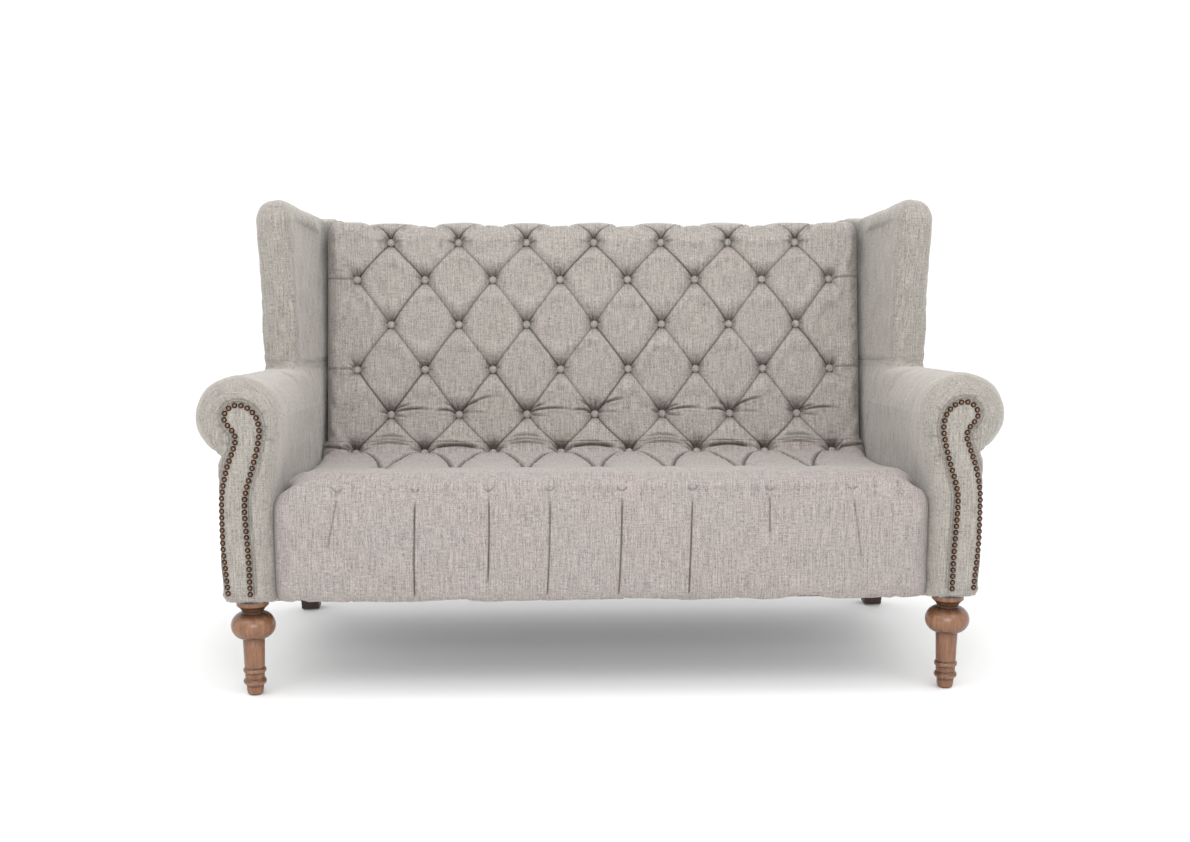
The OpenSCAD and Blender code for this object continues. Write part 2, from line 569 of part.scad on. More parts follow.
// Seat frame
function side_face_x(y) = arm_x(y) - frame_in;
module cross_member(y, t) {
    linear_extrude(rail_h) polygon([[-side_face_x(y), y], [side_face_x(y), y], [side_face_x(y + t), y + t],
        [-side_face_x(y + t), y + t]]);
}
module front_seat_rail() color(beech) difference() {
    translate([0, 0, under_z]) cross_member(rail_y, rail_t);
    both() dowel_bores();
}
module rear_seat_rail() color(beech) translate([0, 0, under_z]) cross_member(spring_rail_y, rail_t);
module rear_base_rail() color(beech) translate([0, 0, under_z]) cross_member(base_rail_y, rail_t);
module side_seat_rail_right() color(beech) difference() {
    arm_bar(-frame_in, rail_t - frame_in,
        [[post_end_y, under_z], [rear_post_y, under_z], [rear_post_y, rail_z], [post_end_y, rail_z]]);
    dowel_bores();
}
module side_seat_rail_left() left_only() side_seat_rail_right();
module seat_cross_rails() color(beech) both() {
    y0 = rail_y + rail_t;
    translate([button_pitch * 1.3, y0, under_z]) cube([rail_t, spring_rail_y - y0, rail_h * 0.55]);
}
block_l = 80;
block_z = under_z + rail_h * 0.2;
module corner_blocks() color(beech) both() translate([0, 0, block_z]) {
    y0 = rail_y + rail_t;
    y1 = base_rail_y;
    linear_extrude(rail_h * 0.6) polygon([[side_face_x(post_end_y) - block_l, y0], [side_face_x(y0), y0],
        [side_face_x(y0 + block_l), y0 + block_l]]);
    linear_extrude(rail_h * 0.6) polygon([[side_face_x(y1) - block_l, y1], [side_face_x(y1), y1],
        [side_face_x(y1 - block_l * 0.7), y1 - block_l * 0.7]]);
}

// Springs: flat serpentines of wire from the front rail to the spring rail, with a clip at each end
spring_y0 = rail_y + rail_t / 2;
spring_y1 = spring_rail_y + clip_l;
spring_wave = 22;
spring_swing = 20;
wave_steps = 4;
waves = 2 * floor((spring_y1 - spring_y0) / spring_wave / 2) + 1;
spring_half = side_face_x(spring_rail_y) - spring_swing * 2;
function spring_x(i) = mix(-spring_half, spring_half, i / (spring_count - 1));
function wave(i) = let (t = i / wave_steps) [spring_swing * cos(180 * t)
    * (i <= 1 || i >= waves * wave_steps - 1 ? 0.9 : 1),
    mix(spring_y0, spring_y1, t / waves)];
function wave_side(i, side) = let (a = wave(max(0, i - 1)), b = wave(min(waves * wave_steps, i + 1)),
    d = (b - a) / norm(b - a))
    wave(i) + side * spring_wire / 2 * [d[1], -d[0]];
spring_points = concat([for (i = [0:waves * wave_steps]) wave_side(i, 1)],
    [for (i = [waves * wave_steps:-1:0]) wave_side(i, -1)]);
module seat_springs() color(steel) for (i = [0:spring_count - 1])
    translate([spring_x(i), 0, rail_z]) linear_extrude(spring_wire) polygon(spring_points);
clip_w = spring_swing * 3.4;
module clip(y) translate([0, y, rail_z]) difference() {
    translate([-clip_w / 2, -clip_l / 2, 0]) cube([clip_w, clip_l, spring_wire + clip_h]);
    translate([-clip_w / 2 + clip_h, -clip_l, -overrun])
        cube([clip_w - 2 * clip_h, 2 * clip_l, spring_wire + overrun + clear]);
}
module spring_clips() color(steel) for (i = [0:spring_count - 1]) translate([spring_x(i), 0, 0]) {
    clip(spring_y0 + clip_l / 2);
    clip(spring_y1 - clip_l / 2);
}
tie_r = 1.2;
module seat_insulator() color(hemp) difference() {
    translate([0, 0, deck_z - insulator_t]) linear_extrude(insulator_t)
        polygon([[rail_t - side_face_x(rail_y), rail_y], [side_face_x(rail_y) - rail_t, rail_y],
            [side_face_x(spring_rail_y) - rail_t, spring_y1],
                [rail_t - side_face_x(spring_rail_y), spring_y1]]);
    for (s = seat_button_spots) translate([s[0], s[1], deck_z - insulator_t - overrun])
        cylinder(h = insulator_t + 2 * overrun, r = tie_r + clear, $fn = pin_fn);
}
module dust_cover() color(trim_fabric) difference() {
    y0 = rail_y;
    y1 = base_rail_y + rail_t;
    translate([0, 0, under_z - cover_t]) linear_extrude(cover_t) polygon([[-arm_x(y0) - panel_in, y0],
        [arm_x(y0) + panel_in, y0], [arm_x(y1) + panel_in, y1], [-arm_x(y1) - panel_in, y1]]);
    for (p = bolt_heads) translate([p[0] - rear_leg_w * 0.6, p[1] - rear_leg_w * 0.6,
        under_z - cover_t - overrun])
        cube([rear_leg_w * 1.2, rear_leg_w * 1.2, cover_t + 2 * overrun]);
}

// Back frame
module back_post_right() color(beech) side_prism([[frame_y(rail_z), rail_z], [inner_out_y(rail_z), rail_z],
    [inner_out_y(rail_top_z), rail_top_z], [frame_y(rail_top_z), rail_top_z]], back_half - back_post_w,
        back_half);
module back_post_left() left_only() back_post_right();
back_rail_t = 36;
back_rail_h = 50;
head_rail_h = 40;
head_rail_z = rail_top_z - head_rail_h;
mid_rail_drop = 60;
mid_rail_z = arm_h - mid_rail_drop;
bottom_rail_rise = 40;
bottom_rail_z = rail_z + bottom_rail_rise;
module back_rail(z) {
    top = z + back_rail_h;
    side_prism([[frame_y(z), z], [frame_y(z) + back_rail_t, z], [frame_y(top) + back_rail_t, top],
        [frame_y(top), top]],
        -back_rail_half, back_rail_half);
}
module back_top_rail() color(beech) side_prism([[frame_y(head_rail_z), head_rail_z],
    [inner_out_y(head_rail_z), head_rail_z], [inner_out_y(rail_top_z), rail_top_z],
        [frame_y(rail_top_z), rail_top_z]],
    -back_rail_half, back_rail_half);
module back_mid_rail() color(beech) back_rail(mid_rail_z);
module back_bottom_rail() color(beech) back_rail(bottom_rail_z);
module stile(z0, z1) {
    side_prism([[frame_y(z0), z0], [frame_y(z0) + back_rail_t, z0], [frame_y(z1) + back_rail_t, z1],
        [frame_y(z1), z1]],
        -back_post_w / 2, back_post_w / 2);
}
module back_stiles() color(beech) for (x = [-1:1]) translate([x * back_rail_half / 2, 0, 0]) {
    stile(bottom_rail_z + back_rail_h, mid_rail_z);
    stile(mid_rail_z + back_rail_h, head_rail_z);
}
sheet_low = (bottom_rail_z - seam_h) / cos(back_rake) + back_pad_t * tan(back_rake);
sheet_high = (rail_top_z - seam_h) / cos(back_rake) + back_pad_t * tan(back_rake) - overrun;
module back_hessian() color(hemp) raked() difference() {
    translate([-back_half, back_pad_t, sheet_low]) cube([2 * back_half, hessian_t, sheet_high - sheet_low]);
    for (s = back_button_spots) translate([s[0], back_pad_t - overrun, s[1]]) rotate([-90, 0, 0])
        cylinder(h = hessian_t + 2 * overrun, r = tie_r + clear, $fn = pin_fn);
}
web_w = 50;
web_count = 12;
module back_webbing() color(hemp) raked() translate([-web_w / 2, back_pad_t + hessian_t, 0])
    for (i = [0:web_count - 1])
        translate([mix(-back_rail_half, back_rail_half, (i + 0.5) / web_count), 0, sheet_low])
        cube([web_w, webbing_t, sheet_high - sheet_low]);

// Arm frames, made for the right and mirrored
top_rail_low = 10;
top_rail_high = 22;
top_rail_half = 25;
function post_top(y) = roll_z(y) - top_rail_low;
module arm_front_post_right() color(beech) difference() {
    arm_bar(-frame_in, post_out,
        [[post_y, under_z], [post_end_y, under_z], [post_end_y, post_top(post_end_y)],
            [post_y, post_top(post_y)]]);
    dowel_bores();
    translate([front_leg_x, front_leg_y, 0]) bolt_bore();
}
module arm_front_post_left() left_only() arm_front_post_right();
module arm_rear_post_right() color(beech) difference() {
    top_y = meet_y(top_rail_low);
    arm_bar(-frame_in, post_out, [[rear_post_y, under_z], [inner_out_y(under_z), under_z],
        [top_y, post_top(top_y)],
        [rear_post_y, post_top(rear_post_y)]]);
    dowel_bores();
    translate([rear_leg_x, rear_leg_y, 0]) bolt_bore();
}
module arm_rear_post_left() left_only() arm_rear_post_right();
rail_end_y = meet_y(0) - rail_t;
module arm_top_rail_right() color(beech) arm_bar(-top_rail_half, top_rail_half, [[post_y, post_top(post_y)],
    [rail_end_y, post_top(rail_end_y)], [rail_end_y, post_top(rail_end_y) + top_rail_low + top_rail_high],
    [post_y, post_top(post_y) + top_rail_low + top_rail_high]]);
module arm_top_rail_left() left_only() arm_top_rail_right();
lower_rail_rise = 15;
lower_rail_z = deck_z + lower_rail_rise;
lower_rail_t = 28;
lower_rail_h = 40;
module arm_lower_rail_right() color(beech) arm_bar(-frame_in, lower_rail_t - frame_in,
    [[post_end_y, lower_rail_z],
    [rear_post_y, lower_rail_z], [rear_post_y, lower_rail_z + lower_rail_h],
        [post_end_y, lower_rail_z + lower_rail_h]]);
module arm_lower_rail_left() left_only() arm_lower_rail_right();
tack_h = 30;
tack_drop = roll_r * 1.03;
function tack_z(y) = roll_z(y) - tack_drop;
module arm_tack_rail_right() color(beech) arm_bar(post_out, panel_in, [[post_y, tack_z(post_y) - tack_h],
    [rail_end_y, tack_z(rail_end_y) - tack_h], [rail_end_y, tack_z(rail_end_y)], [post_y, tack_z(post_y)]]);
module arm_tack_rail_left() left_only() arm_tack_rail_right();
board_r = roll_r - arm_pad_t - clear;
board_end = 180 - (roll_n - 1) * roll_step;
module arm_scroll_board_right() color(beech) {
    x = arm_x(post_y);
    zc = roll_z(post_y);
    front_prism(concat([[x - frame_in, arm_hem_z]],
        [for (a = [180:-roll_step:90]) [x + frame_in * cos(a), zc + board_r * sin(a)]],
        [for (a = [90 - roll_step:-roll_step:board_end]) [x + board_r * cos(a), zc + board_r * sin(a)]],
        [[x + (roll_r + clear) * cos(board_end) - clear, zc + (roll_r + 2 * clear) * sin(board_end)],
         [x + panel_in, zc - tack_drop], [x + panel_in, arm_hem_z]]), board_y, post_y);
}
module arm_scroll_board_left() left_only() arm_scroll_board_right();
module wing_frame_right() color(beech) difference() {
    wing_at() translate([wing_pad_t, 0, 0]) side_prism(wing_profile(edge_pad + clear), 0, wing_board_t);
    side_prism([[frame_y(rail_z), rail_z], [overall_d, rail_z], [overall_d, overall_w],
        [frame_y(overall_w), overall_w]],
        0, back_half);
    side_prism([[inner_out_y(0), 0], [overall_d, 0], [overall_d, overall_w],
        [inner_out_y(overall_w), overall_w]], 0, overall_w);
}
module wing_frame_left() left_only() wing_frame_right();

// Upholstery
module seat_pad() color(fabric) {
    xs = columns(seat_half(back_y));
    last = len(xs);
    rings = concat([seat_ring(-1, 1), seat_ring(-1, 0.3)], [for (x = xs) seat_ring(x, 0)],
        [seat_ring(1, 0.3), seat_ring(1, 1)]);
    band(rings, seat_n, seat_near, function(k, j) k > 1 && k <= last && j < len(seat_path) - 1
        ? leans(mix(xs[k - 2], xs[k - 1], 0.5), mix(seat_path[j][3], seat_path[j + 1][3], 0.5)) : true);
}
module back_pad() color(fabric) {
    xs = columns(back_half);
    last = len(xs);
    rings = concat([back_ring(-back_half, 1), back_ring(side_round - back_half, 0.3)],
        [for (x = xs) back_ring(x, 0)],
        [back_ring(back_half - side_round, 0.3), back_ring(back_half, 1)]);
    band(rings, back_n, back_near, function(k, j) k > 1 && k <= last && j < len(back_path) - 1
        ? leans(mix(xs[k - 2], xs[k - 1], 0.5), mix(back_path[j][3], back_path[j + 1][3], 0.5)) : true);
}
edge_step = 3;
front_steps = [[0, true], [edge_step, true], [facing_t + clear / 2, true], [facing_t + 1.5 * clear, false],
    [facing_t + board_t / 2, false], [post_y - front_y, false], [front_pad_t - 2 * clear, false]];
module arm_pad_right() color(fabric) band(concat(
    [for (s = front_steps) arm_ring(s[0], arm_hem_z, s[1])],
    [arm_ring(front_pad_t - clear, deck_z, false)],
    [for (t = [0, 0.38, 0.49, 0.75, 1]) arm_rear_ring(t)]), arm_n, [for (i = [0:arm_n - 1]) i],
        flip = true);
module arm_pad_left() left_only() arm_pad_right();
module wing_pad_right() color(fabric) band([for (i = [0:wing_last]) wing_ring(i)], len(wing_near),
    wing_near, flip = true);
module wing_pad_left() left_only() wing_pad_right();
module arm_facing_right() color(trim_fabric)
    front_prism([for (p = facing_points) [arm_front_x + p[0], p[1]]], front_y, front_y + facing_t);
module arm_facing_left() left_only() arm_facing_right();
module domed_pin(r, h, pin_r, pin_l) {
    ball = (r * r + h * h) / (2 * h);
    rotate_extrude($fn = pin_fn) {
        intersection() {
            translate([0, h - ball]) circle(ball, $fn = round_fn);
            square([r, h]);
        }
        translate([0, -pin_l]) square([pin_r, pin_l]);
    }
}
nail_pin_l = 9;
nail_count = floor(line_length[line_last] / nail_pitch);
module arm_nails_right() color(bronze) for (i = [0:nail_count])
    let (s = i * line_length[line_last] / nail_count)
    translate([arm_front_x + lookup(s, along_u), front_y, lookup(s, along_z)]) rotate([90, 0, 0])
        domed_pin(nail_r, nail_h, nail_r * 0.14, nail_pin_l);
module arm_nails_left() left_only() arm_nails_right();

// Outside covers
module outside_arm_right() color(fabric) {
    top_y = meet_y(tack_drop);
    arm_bar(panel_in, arm_out - clear, [[board_y, arm_hem_z], [inner_out_y(arm_hem_z), arm_hem_z],
        [top_y, tack_z(top_y)], [board_y, tack_z(board_y)]]);
}
module outside_arm_left() left_only() outside_arm_right();
module outside_wing_right() color(fabric) difference() {
    wing_at() translate([wing_pad_t + wing_board_t + clear, 0, 0])
        side_prism(wing_profile(wing_t * 0.52), 0, panel_t);
    side_prism([[inner_out_y(0), 0], [overall_d, 0], [overall_d, overall_w],
        [inner_out_y(overall_w), overall_w]], 0, overall_w);
}
module outside_wing_left() left_only() outside_wing_right();
module outside_back() color(fabric) {
    high_half = wing_world([wing_t, wing_rear_y(0, 0) + wing_t * 2, 0])[0];
    rear_y = meet_y(0);
    low_half = arm_x(rear_y) + arm_out;
    zc = roll_z(rear_y);
    h = 1 / cos(outside_rake);
    translate([0, out_y(0), 0]) rotate([90 - outside_rake, 0, 0]) linear_extrude(panel_t) {
        polygon([[-low_half, arm_hem_z * h], [low_half, arm_hem_z * h], [low_half, (zc - tack_drop) * h],
            [high_half, (zc - tack_drop) * h], [high_half, out_top_z * h], [-high_half, out_top_z * h],
            [-high_half, (zc - tack_drop) * h], [-low_half, (zc - tack_drop) * h]]);
        for (side = [-1, 1]) translate([side * arm_x(rear_y), zc * h]) circle(roll_r, $fn = round_fn);
    }
}

// Buttons and their ties
button_stand = 7.5;
button_pin_r = 2.5;
button_pin_l = 18;
back_button_spots = [for (row = [0:back_rows - 1], x = button_xs(back_half, row)) [x, row_z(row)]];
seat_rows = [[5, len(seat_path) - 1], [6, 7]];
seat_button_spots = [for (r = seat_rows, x = button_xs(back_half, r[0])) let (p = seat_path[r[1]])
    [x, front_y + p[0], p[1] - p[2] * seat_puff_h]];
module back_buttons() color(fabric) raked() for (s = back_button_spots)
    translate([s[0], -button_stand, s[1]]) rotate([90, 0, 0]) domed_pin(button_r, button_h, button_pin_r,
        button_pin_l);
module seat_buttons() color(fabric) for (s = seat_button_spots)
    translate([s[0], s[1], s[2] + button_stand]) domed_pin(button_r, button_h, button_pin_r, button_pin_l);
module button_ties() color(hemp) {
    raked() for (s = back_button_spots) translate([s[0], button_pin_l - button_stand, s[1]])
        rotate([-90, 0, 0])
        cylinder(h = back_pad_t + hessian_t - button_pin_l + button_stand, r = tie_r, $fn = pin_fn);
    for (s = seat_button_spots) translate([s[0], s[1], deck_z - insulator_t])
        cylinder(h = s[2] + button_stand - button_pin_l - deck_z + insulator_t, r = tie_r, $fn = pin_fn);
}

front_leg_left();
front_leg_right();
rear_leg_left();
rear_leg_right();
leg_bolts();
leg_plates();
glides();
front_seat_rail();
rear_seat_rail();
rear_base_rail();
side_seat_rail_left();
side_seat_rail_right();
seat_cross_rails();
corner_blocks();
seat_springs();
spring_clips();
seat_insulator();
dust_cover();
back_post_left();
back_post_right();
back_top_rail();
back_mid_rail();
back_bottom_rail();
back_stiles();
back_webbing();
back_hessian();
arm_front_post_left();
arm_front_post_right();
arm_rear_post_left();
arm_rear_post_right();
arm_top_rail_left();
arm_top_rail_right();
arm_lower_rail_left();
arm_lower_rail_right();
arm_tack_rail_left();
arm_tack_rail_right();
arm_scroll_board_left();
arm_scroll_board_right();
wing_frame_left();
wing_frame_right();
seat_pad();
back_pad();
arm_pad_left();
arm_pad_right();
wing_pad_left();
wing_pad_right();
arm_facing_left();
arm_facing_right();
arm_nails_left();
arm_nails_right();
outside_arm_left();
outside_arm_right();
outside_wing_left();
outside_wing_right();
outside_back();
back_buttons();
seat_buttons();
button_ties();
frame_dowels();
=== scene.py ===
import json
from math import copysign, cos, pi, radians, sin, sqrt, tan
import bpy
import bmesh
import numpy as np
from numpy.linalg import norm
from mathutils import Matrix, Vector


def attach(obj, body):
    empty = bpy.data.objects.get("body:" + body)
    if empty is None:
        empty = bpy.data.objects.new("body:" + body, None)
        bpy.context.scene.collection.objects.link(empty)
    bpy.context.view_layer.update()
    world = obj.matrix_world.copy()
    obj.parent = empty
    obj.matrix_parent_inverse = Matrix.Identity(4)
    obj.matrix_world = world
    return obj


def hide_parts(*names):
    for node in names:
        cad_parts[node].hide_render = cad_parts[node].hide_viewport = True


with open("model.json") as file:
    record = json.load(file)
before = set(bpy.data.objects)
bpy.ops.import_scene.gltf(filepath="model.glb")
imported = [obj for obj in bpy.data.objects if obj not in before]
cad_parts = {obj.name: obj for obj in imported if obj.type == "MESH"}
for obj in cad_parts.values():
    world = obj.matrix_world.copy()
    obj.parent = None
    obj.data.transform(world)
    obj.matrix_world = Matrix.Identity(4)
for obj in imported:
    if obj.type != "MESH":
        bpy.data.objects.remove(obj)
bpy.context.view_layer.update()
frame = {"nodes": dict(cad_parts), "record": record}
nodes = frame["nodes"]
rng = np.random.default_rng(11)
scene = bpy.context.scene

# Sizes in millimetres, as in the source
PITCH, FRONT_Y, BACK_Y, SEAM_H, RAKE = 166.0, -416.0, 169.0, 455.0, radians(11.7)
ARM_X, TAPER, FALL, ROLL_R, ARM_H = 765.0, radians(3.05), radians(5.3), 85.0, 702.0
ARM_IN, ARM_OUT, HEM_Z, FRONT_HEM, UNDER_Z = 70.0, 41.0, 209.5, 220.5, 212.0
BACK_HALF, OUT_RAKE, RAIL_Y, RAIL_Z = 654.49, radians(6.3), 420.0, 972.0
OUTSIDE_HALF, OUTSIDE_TOP = 696.0, 971.0
TUFTED_HALF, SIDE_FOLD_END = 612, 668
# Rows of buttons down the covers: 0 to 4 on the back, 5 where it meets the seat, 6 on the seat.
# The seat's path goes on over its front edge, 7, to the hem.
TOP, SPLIT, SEAM_ROW, SEAT_ROW, HEM = -2.2, 4.80, 5, 6, 8.12
LUCK = 997  # how many random numbers the folds and diamonds share


def smooth(t):
    t = np.clip(t, 0, 1)
    return t * t * (3 - 2 * t)


def lerp(a, b, t):
    return a + (b - a) * t


def curve(keys, values, t):
    """A smooth curve through unevenly spaced keys."""
    keys, values, t = np.asarray(keys, float), np.asarray(values, float), np.asarray(t, float)
    slope = np.gradient(values, keys, axis=0)
    i = np.clip(np.searchsorted(keys, t) - 1, 0, len(keys) - 2)
    h = keys[i + 1] - keys[i]
    f = (t - keys[i]) / h
    if values.ndim > 1:
        h, f = h[..., None], f[..., None]
    f2, f3 = f * f, f * f * f
    return ((2 * f3 - 3 * f2 + 1) * values[i] + (f3 - 2 * f2 + f) * h * slope[i]
            + (3 * f2 - 2 * f3) * values[i + 1] + (f3 - f2) * h * slope[i + 1])


def arm_x(y):
    """The middle of the right arm's scroll at depth y."""
    return ARM_X - (y - FRONT_Y - 50) * tan(TAPER)


def roll_z(y):
    """The height of the scroll's centre at depth y."""
    return ARM_H - ROLL_R - (y - FRONT_Y) * tan(FALL)


def out_y(z):
    """Where the outside back lies at height z."""
    return RAIL_Y - (RAIL_Z - z) * tan(OUT_RAKE)


def hem_z(y):
    """The arm's lower edge: a little higher across its front."""
    return lerp(FRONT_HEM, HEM_Z, smooth((y - FRONT_Y - 14) / 20))


def turn(x, y, angle):
    """The point (x, y) turned by an angle."""
    return x * cos(angle) - y * sin(angle), x * sin(angle) + y * cos(angle)


def read(keys, t):
    """The value at t in a table of pairs."""
    return np.interp(t, *np.transpose(keys))


def wobble(seed, size, amount):
    """A gentle unevenness over a plane, the same each run."""
    r = np.random.default_rng(seed)
    waves = [(r.uniform(0.5, 1.6), r.uniform(0, 2 * pi), r.uniform(0, 2 * pi)) for _ in range(7)]

    def at(u, v):
        return amount * sum(np.sin(k * (u * cos(d) + v * sin(d)) * 2 * pi / size + p)
                            for k, d, p in waves) / 3
    return at


# ---- meshes
def put_in_scene(name, data):
    obj = bpy.data.objects.new(name, data)
    scene.collection.objects.link(obj)
    return obj


def new_object(name, verts, faces, cloth=None, fold=None, smooth_shade=True):
    """A mesh object, with its place on the cloth and the painted shade of its folds and crevices where they are given.
    """
    mesh = bpy.data.meshes.new(name)
    mesh.from_pydata((np.asarray(verts) * 0.001).tolist(), [], faces if isinstance(faces, list) else faces.tolist())
    mesh.update()
    obj = put_in_scene(name, mesh)
    if smooth_shade:
        mesh.polygons.foreach_set("use_smooth", np.ones(len(mesh.polygons), bool))
    if cloth is not None:
        set_cloth(obj, cloth)
    if fold is not None:
        set_fold(obj, fold)
    return obj


def set_cloth(obj, cloth):
    at = obj.data.attributes.get("cloth") or obj.data.attributes.new("cloth", "FLOAT_VECTOR", "POINT")
    data = np.zeros((len(obj.data.vertices), 3), np.float32)
    data[:, :2] = np.asarray(cloth) * 0.001
    at.data.foreach_set("vector", data.ravel())


# the painted shade: how far the cloth's colour is darkened in folds, pits and crevices
def set_fold(obj, fold):
    obj.data.attributes.new("fold", "FLOAT", "POINT").data.foreach_set("value", np.asarray(fold, np.float32))


def rows_of(items, key, width=3, kind=float):
    """One property of all the points or edges of a mesh."""
    data = np.zeros(len(items) * width, kind)
    items.foreach_get(key, data)
    return data.reshape(-1, width)


def get_points(obj):
    return rows_of(obj.data.vertices, "co") * 1000


def set_points(obj, points):
    obj.data.vertices.foreach_set("co", (np.asarray(points) * 0.001).ravel())
    obj.data.update()


def get_normals(obj):
    return rows_of(obj.data.vertices, "normal")


def get_edges(obj):
    return rows_of(obj.data.edges, "vertices", 2, np.int64)


def grid_faces(rows, cols, lean=None, start=0):
    j, i = np.mgrid[0:rows - 1, 0:cols - 1]
    a = start + j * cols + i
    b, c, d = a + 1, a + cols, a + cols + 1
    if lean is None:
        return np.stack([a, b, d, c], -1).reshape(-1, 4)
    lean = lean[:-1, :-1]
    one = np.where(lean[..., None], np.stack([a, b, d], -1), np.stack([a, b, c], -1)).reshape(-1, 3)
    two = np.where(lean[..., None], np.stack([a, d, c], -1), np.stack([b, d, c], -1)).reshape(-1, 3)
    return np.concatenate([one, two])


def apply_modifiers(obj):
    dg = bpy.context.evaluated_depsgraph_get()
    mesh = bpy.data.meshes.new_from_object(obj.evaluated_get(dg), preserve_all_data_layers=True, depsgraph=dg)
    obj.modifiers.clear()
    old = obj.data
    obj.data = mesh
    bpy.data.meshes.remove(old)


def cloth_relax(obj, pins, frames, pressure, cap, stiff, swell):
    """Lets the cover settle as cloth over its filling, and returns how far each point moved, up to cap."""
    before = get_points(obj)
    group = obj.vertex_groups.new(name="held")
    for level in np.unique(np.round(pins, 1)):
        if level > 0:
            group.add(np.nonzero(np.abs(pins - level) < 0.051)[0].tolist(), float(level), "REPLACE")
    mod = obj.modifiers.new("settle", "CLOTH")
    s = mod.settings
    s.quality, s.mass = 6, 0.35
    s.tension_stiffness = s.compression_stiffness = stiff
    s.shear_stiffness, s.bending_stiffness = stiff * 0.4, 0.6
    s.air_damping = 4
    s.vertex_group_mass = "held"
    s.pin_stiffness = 0.6
    s.use_pressure, s.uniform_pressure_force = True, pressure
    s.shrink_min = -swell
    s.effector_weights.gravity = 0
    mod.collision_settings.use_collision = False
    mod.point_cache.frame_end = frames
    for f in range(1, frames + 1):
        scene.frame_set(f)
    dg = bpy.context.evaluated_depsgraph_get()
    moved = rows_of(obj.evaluated_get(dg).to_mesh().vertices, "co") * 1000
    obj.evaluated_get(dg).to_mesh_clear()
    obj.modifiers.clear()
    obj.vertex_groups.clear()
    scene.frame_set(1)
    move = moved - before
    move[~np.isfinite(move).all(1)] = 0
    far = norm(move, axis=1, keepdims=True)
    return move * np.minimum(1, cap / np.maximum(far, 1e-6))


# ---- strokes: small folds drawn in a plane
def bend_line(a, b, bow, steps):
    """Points from a to b that bow to one side by a share of the length."""
    a, b = np.asarray(a, float), np.asarray(b, float)
    t = np.linspace(0, 1, steps)[:, None]
    side = np.array([-(b - a)[1], (b - a)[0]])
    return a + (b - a) * t + side * bow * 4 * t * (1 - t)


def stroke(field, points, deep, width, taper, shade, ridge):
    """Adds a groove along a line of points to a field: depth and painted shade over the plane (u, v)."""
    depth, dark, u, v = field
    reach = width * 4
    lo, hi = points.min(0) - reach, points.max(0) + reach
    sel = np.nonzero((u > lo[0]) & (u < hi[0]) & (v > lo[1]) & (v < hi[1]))
    if not len(sel[0]):
        return
    q = np.stack([u[sel], v[sel]], -1)
    best, at = np.full(len(q), 1e9), np.zeros(len(q))
    n = len(points) - 1
    for k in range(n):
        a, d = points[k], points[k + 1] - points[k]
        t = np.clip(((q - a) @ d) / max(d @ d, 1e-9), 0, 1)
        far = norm(q - a - t[:, None] * d, axis=1)
        near = far < best
        best[near], at[near] = far[near], (k + t[near]) / n
    head, tail = taper
    fade = np.ones_like(at)
    if head:
        fade *= smooth(at / head)
    if tail:
        fade *= 1 - smooth((at - (1 - tail)) / tail)
    groove = np.exp(-(best / width) ** 2)
    depth[sel] += fade * (deep * groove - ridge * np.exp(-((best - 2.2 * width) / (1.4 * width)) ** 2))
    # painted shade along the groove
    dark[sel] = np.maximum(dark[sel], shade * fade * np.exp(-(best / (width * 0.9)) ** 2))


# ---- the tufted covers
# one path, (row, y, z), from the back's top to the seat's hem
path_keys = np.array([
    (TOP, 412, 957), (-2.05, 411, 969), (-1.9, 403, 979), (-1.7, 385, 986), (-1.4, 355, 990.5), (-1.1, 322, 992),
    (-0.8, 290, 992), (-0.6, 270, 990), (-0.4, 255, 983), (-0.2, 245.5, 968), (0, 240.2, 946.8), (1, 221.5, 856.7),
    (2, 199.1, 748.5), (3, 176.7, 640.3), (4, 154.3, 532.1), (4.3, 148, 503), (4.6, 141, 480), (4.8, 134, 467),
    (5.0, 122, 450), (5.15, 97, 447.5), (5.5, 8, 451), (6, -124, 462), (6.5, -257, 479), (6.75, -333, 487.5),
    (6.88, -366, 485), (6.94, -382, 479), (7.0, -396, 466), (7.07, -403.5, 450), (7.15, -407.5, 432),
    (7.3, -411, 390), (7.6, -412, 320), (7.85, -411, 260), (7.97, -408, 233), (8.0, -404, 223), (8.04, -395, 214.5),
    (8.08, -382, 211), (HEM, -370, 210.8)])
# at closely spaced rows: the path's points, directions, length so far and the way out of the cushion
sk = np.linspace(TOP, HEM, 2400)
pk = curve(path_keys[:, 0], path_keys[:, 1:], sk)
tk = np.gradient(pk, axis=0)
lk = np.concatenate([[0], np.cumsum(norm(np.diff(pk, axis=0), axis=1))])
tk /= norm(tk, axis=1, keepdims=True)
nk = np.stack([tk[:, 1], -tk[:, 0]], -1)
nk = np.stack([np.convolve(np.pad(nk[:, k], 12, "edge"), np.ones(25) / 25, "valid") for k in (0, 1)], -1)
nk /= norm(nk, axis=1, keepdims=True)


def along(s):
    """The length along the cover down to row s."""
    return np.interp(s, sk, lk)


def button_row(row):
    return [PITCH * k for k in range(-3, 4)] if row % 2 == 0 else [PITCH * (k + 0.5) for k in range(-4, 4)]


buttons = [(x, float(s)) for s in range(SEAT_ROW + 1) for x in button_row(s)]
# how deep the tufts are, and how sharp their folds, by row
depth_keys = [(TOP, 2), (-1.4, 4), (-0.8, 7), (-0.45, 11), (-0.2, 22), (0, 30), (4, 30), (4.7, 24), (5, 15), (5.3, 20),
              (5.5, 24), (6, 30), (6.25, 20), (6.5, 8), (7, 3), (8.04, 0)]
crease_keys = [(TOP, 0.0), (-1.5, 0.35), (-0.5, 0.9), (0, 1), (6, 1), (6.15, 0.7), (6.4, 0.15), (6.5, 0), (8.04, 0)]
line_luck = rng.uniform(0.45, 1.0, LUCK)
cell_luck = rng.uniform(-1, 1, LUCK)


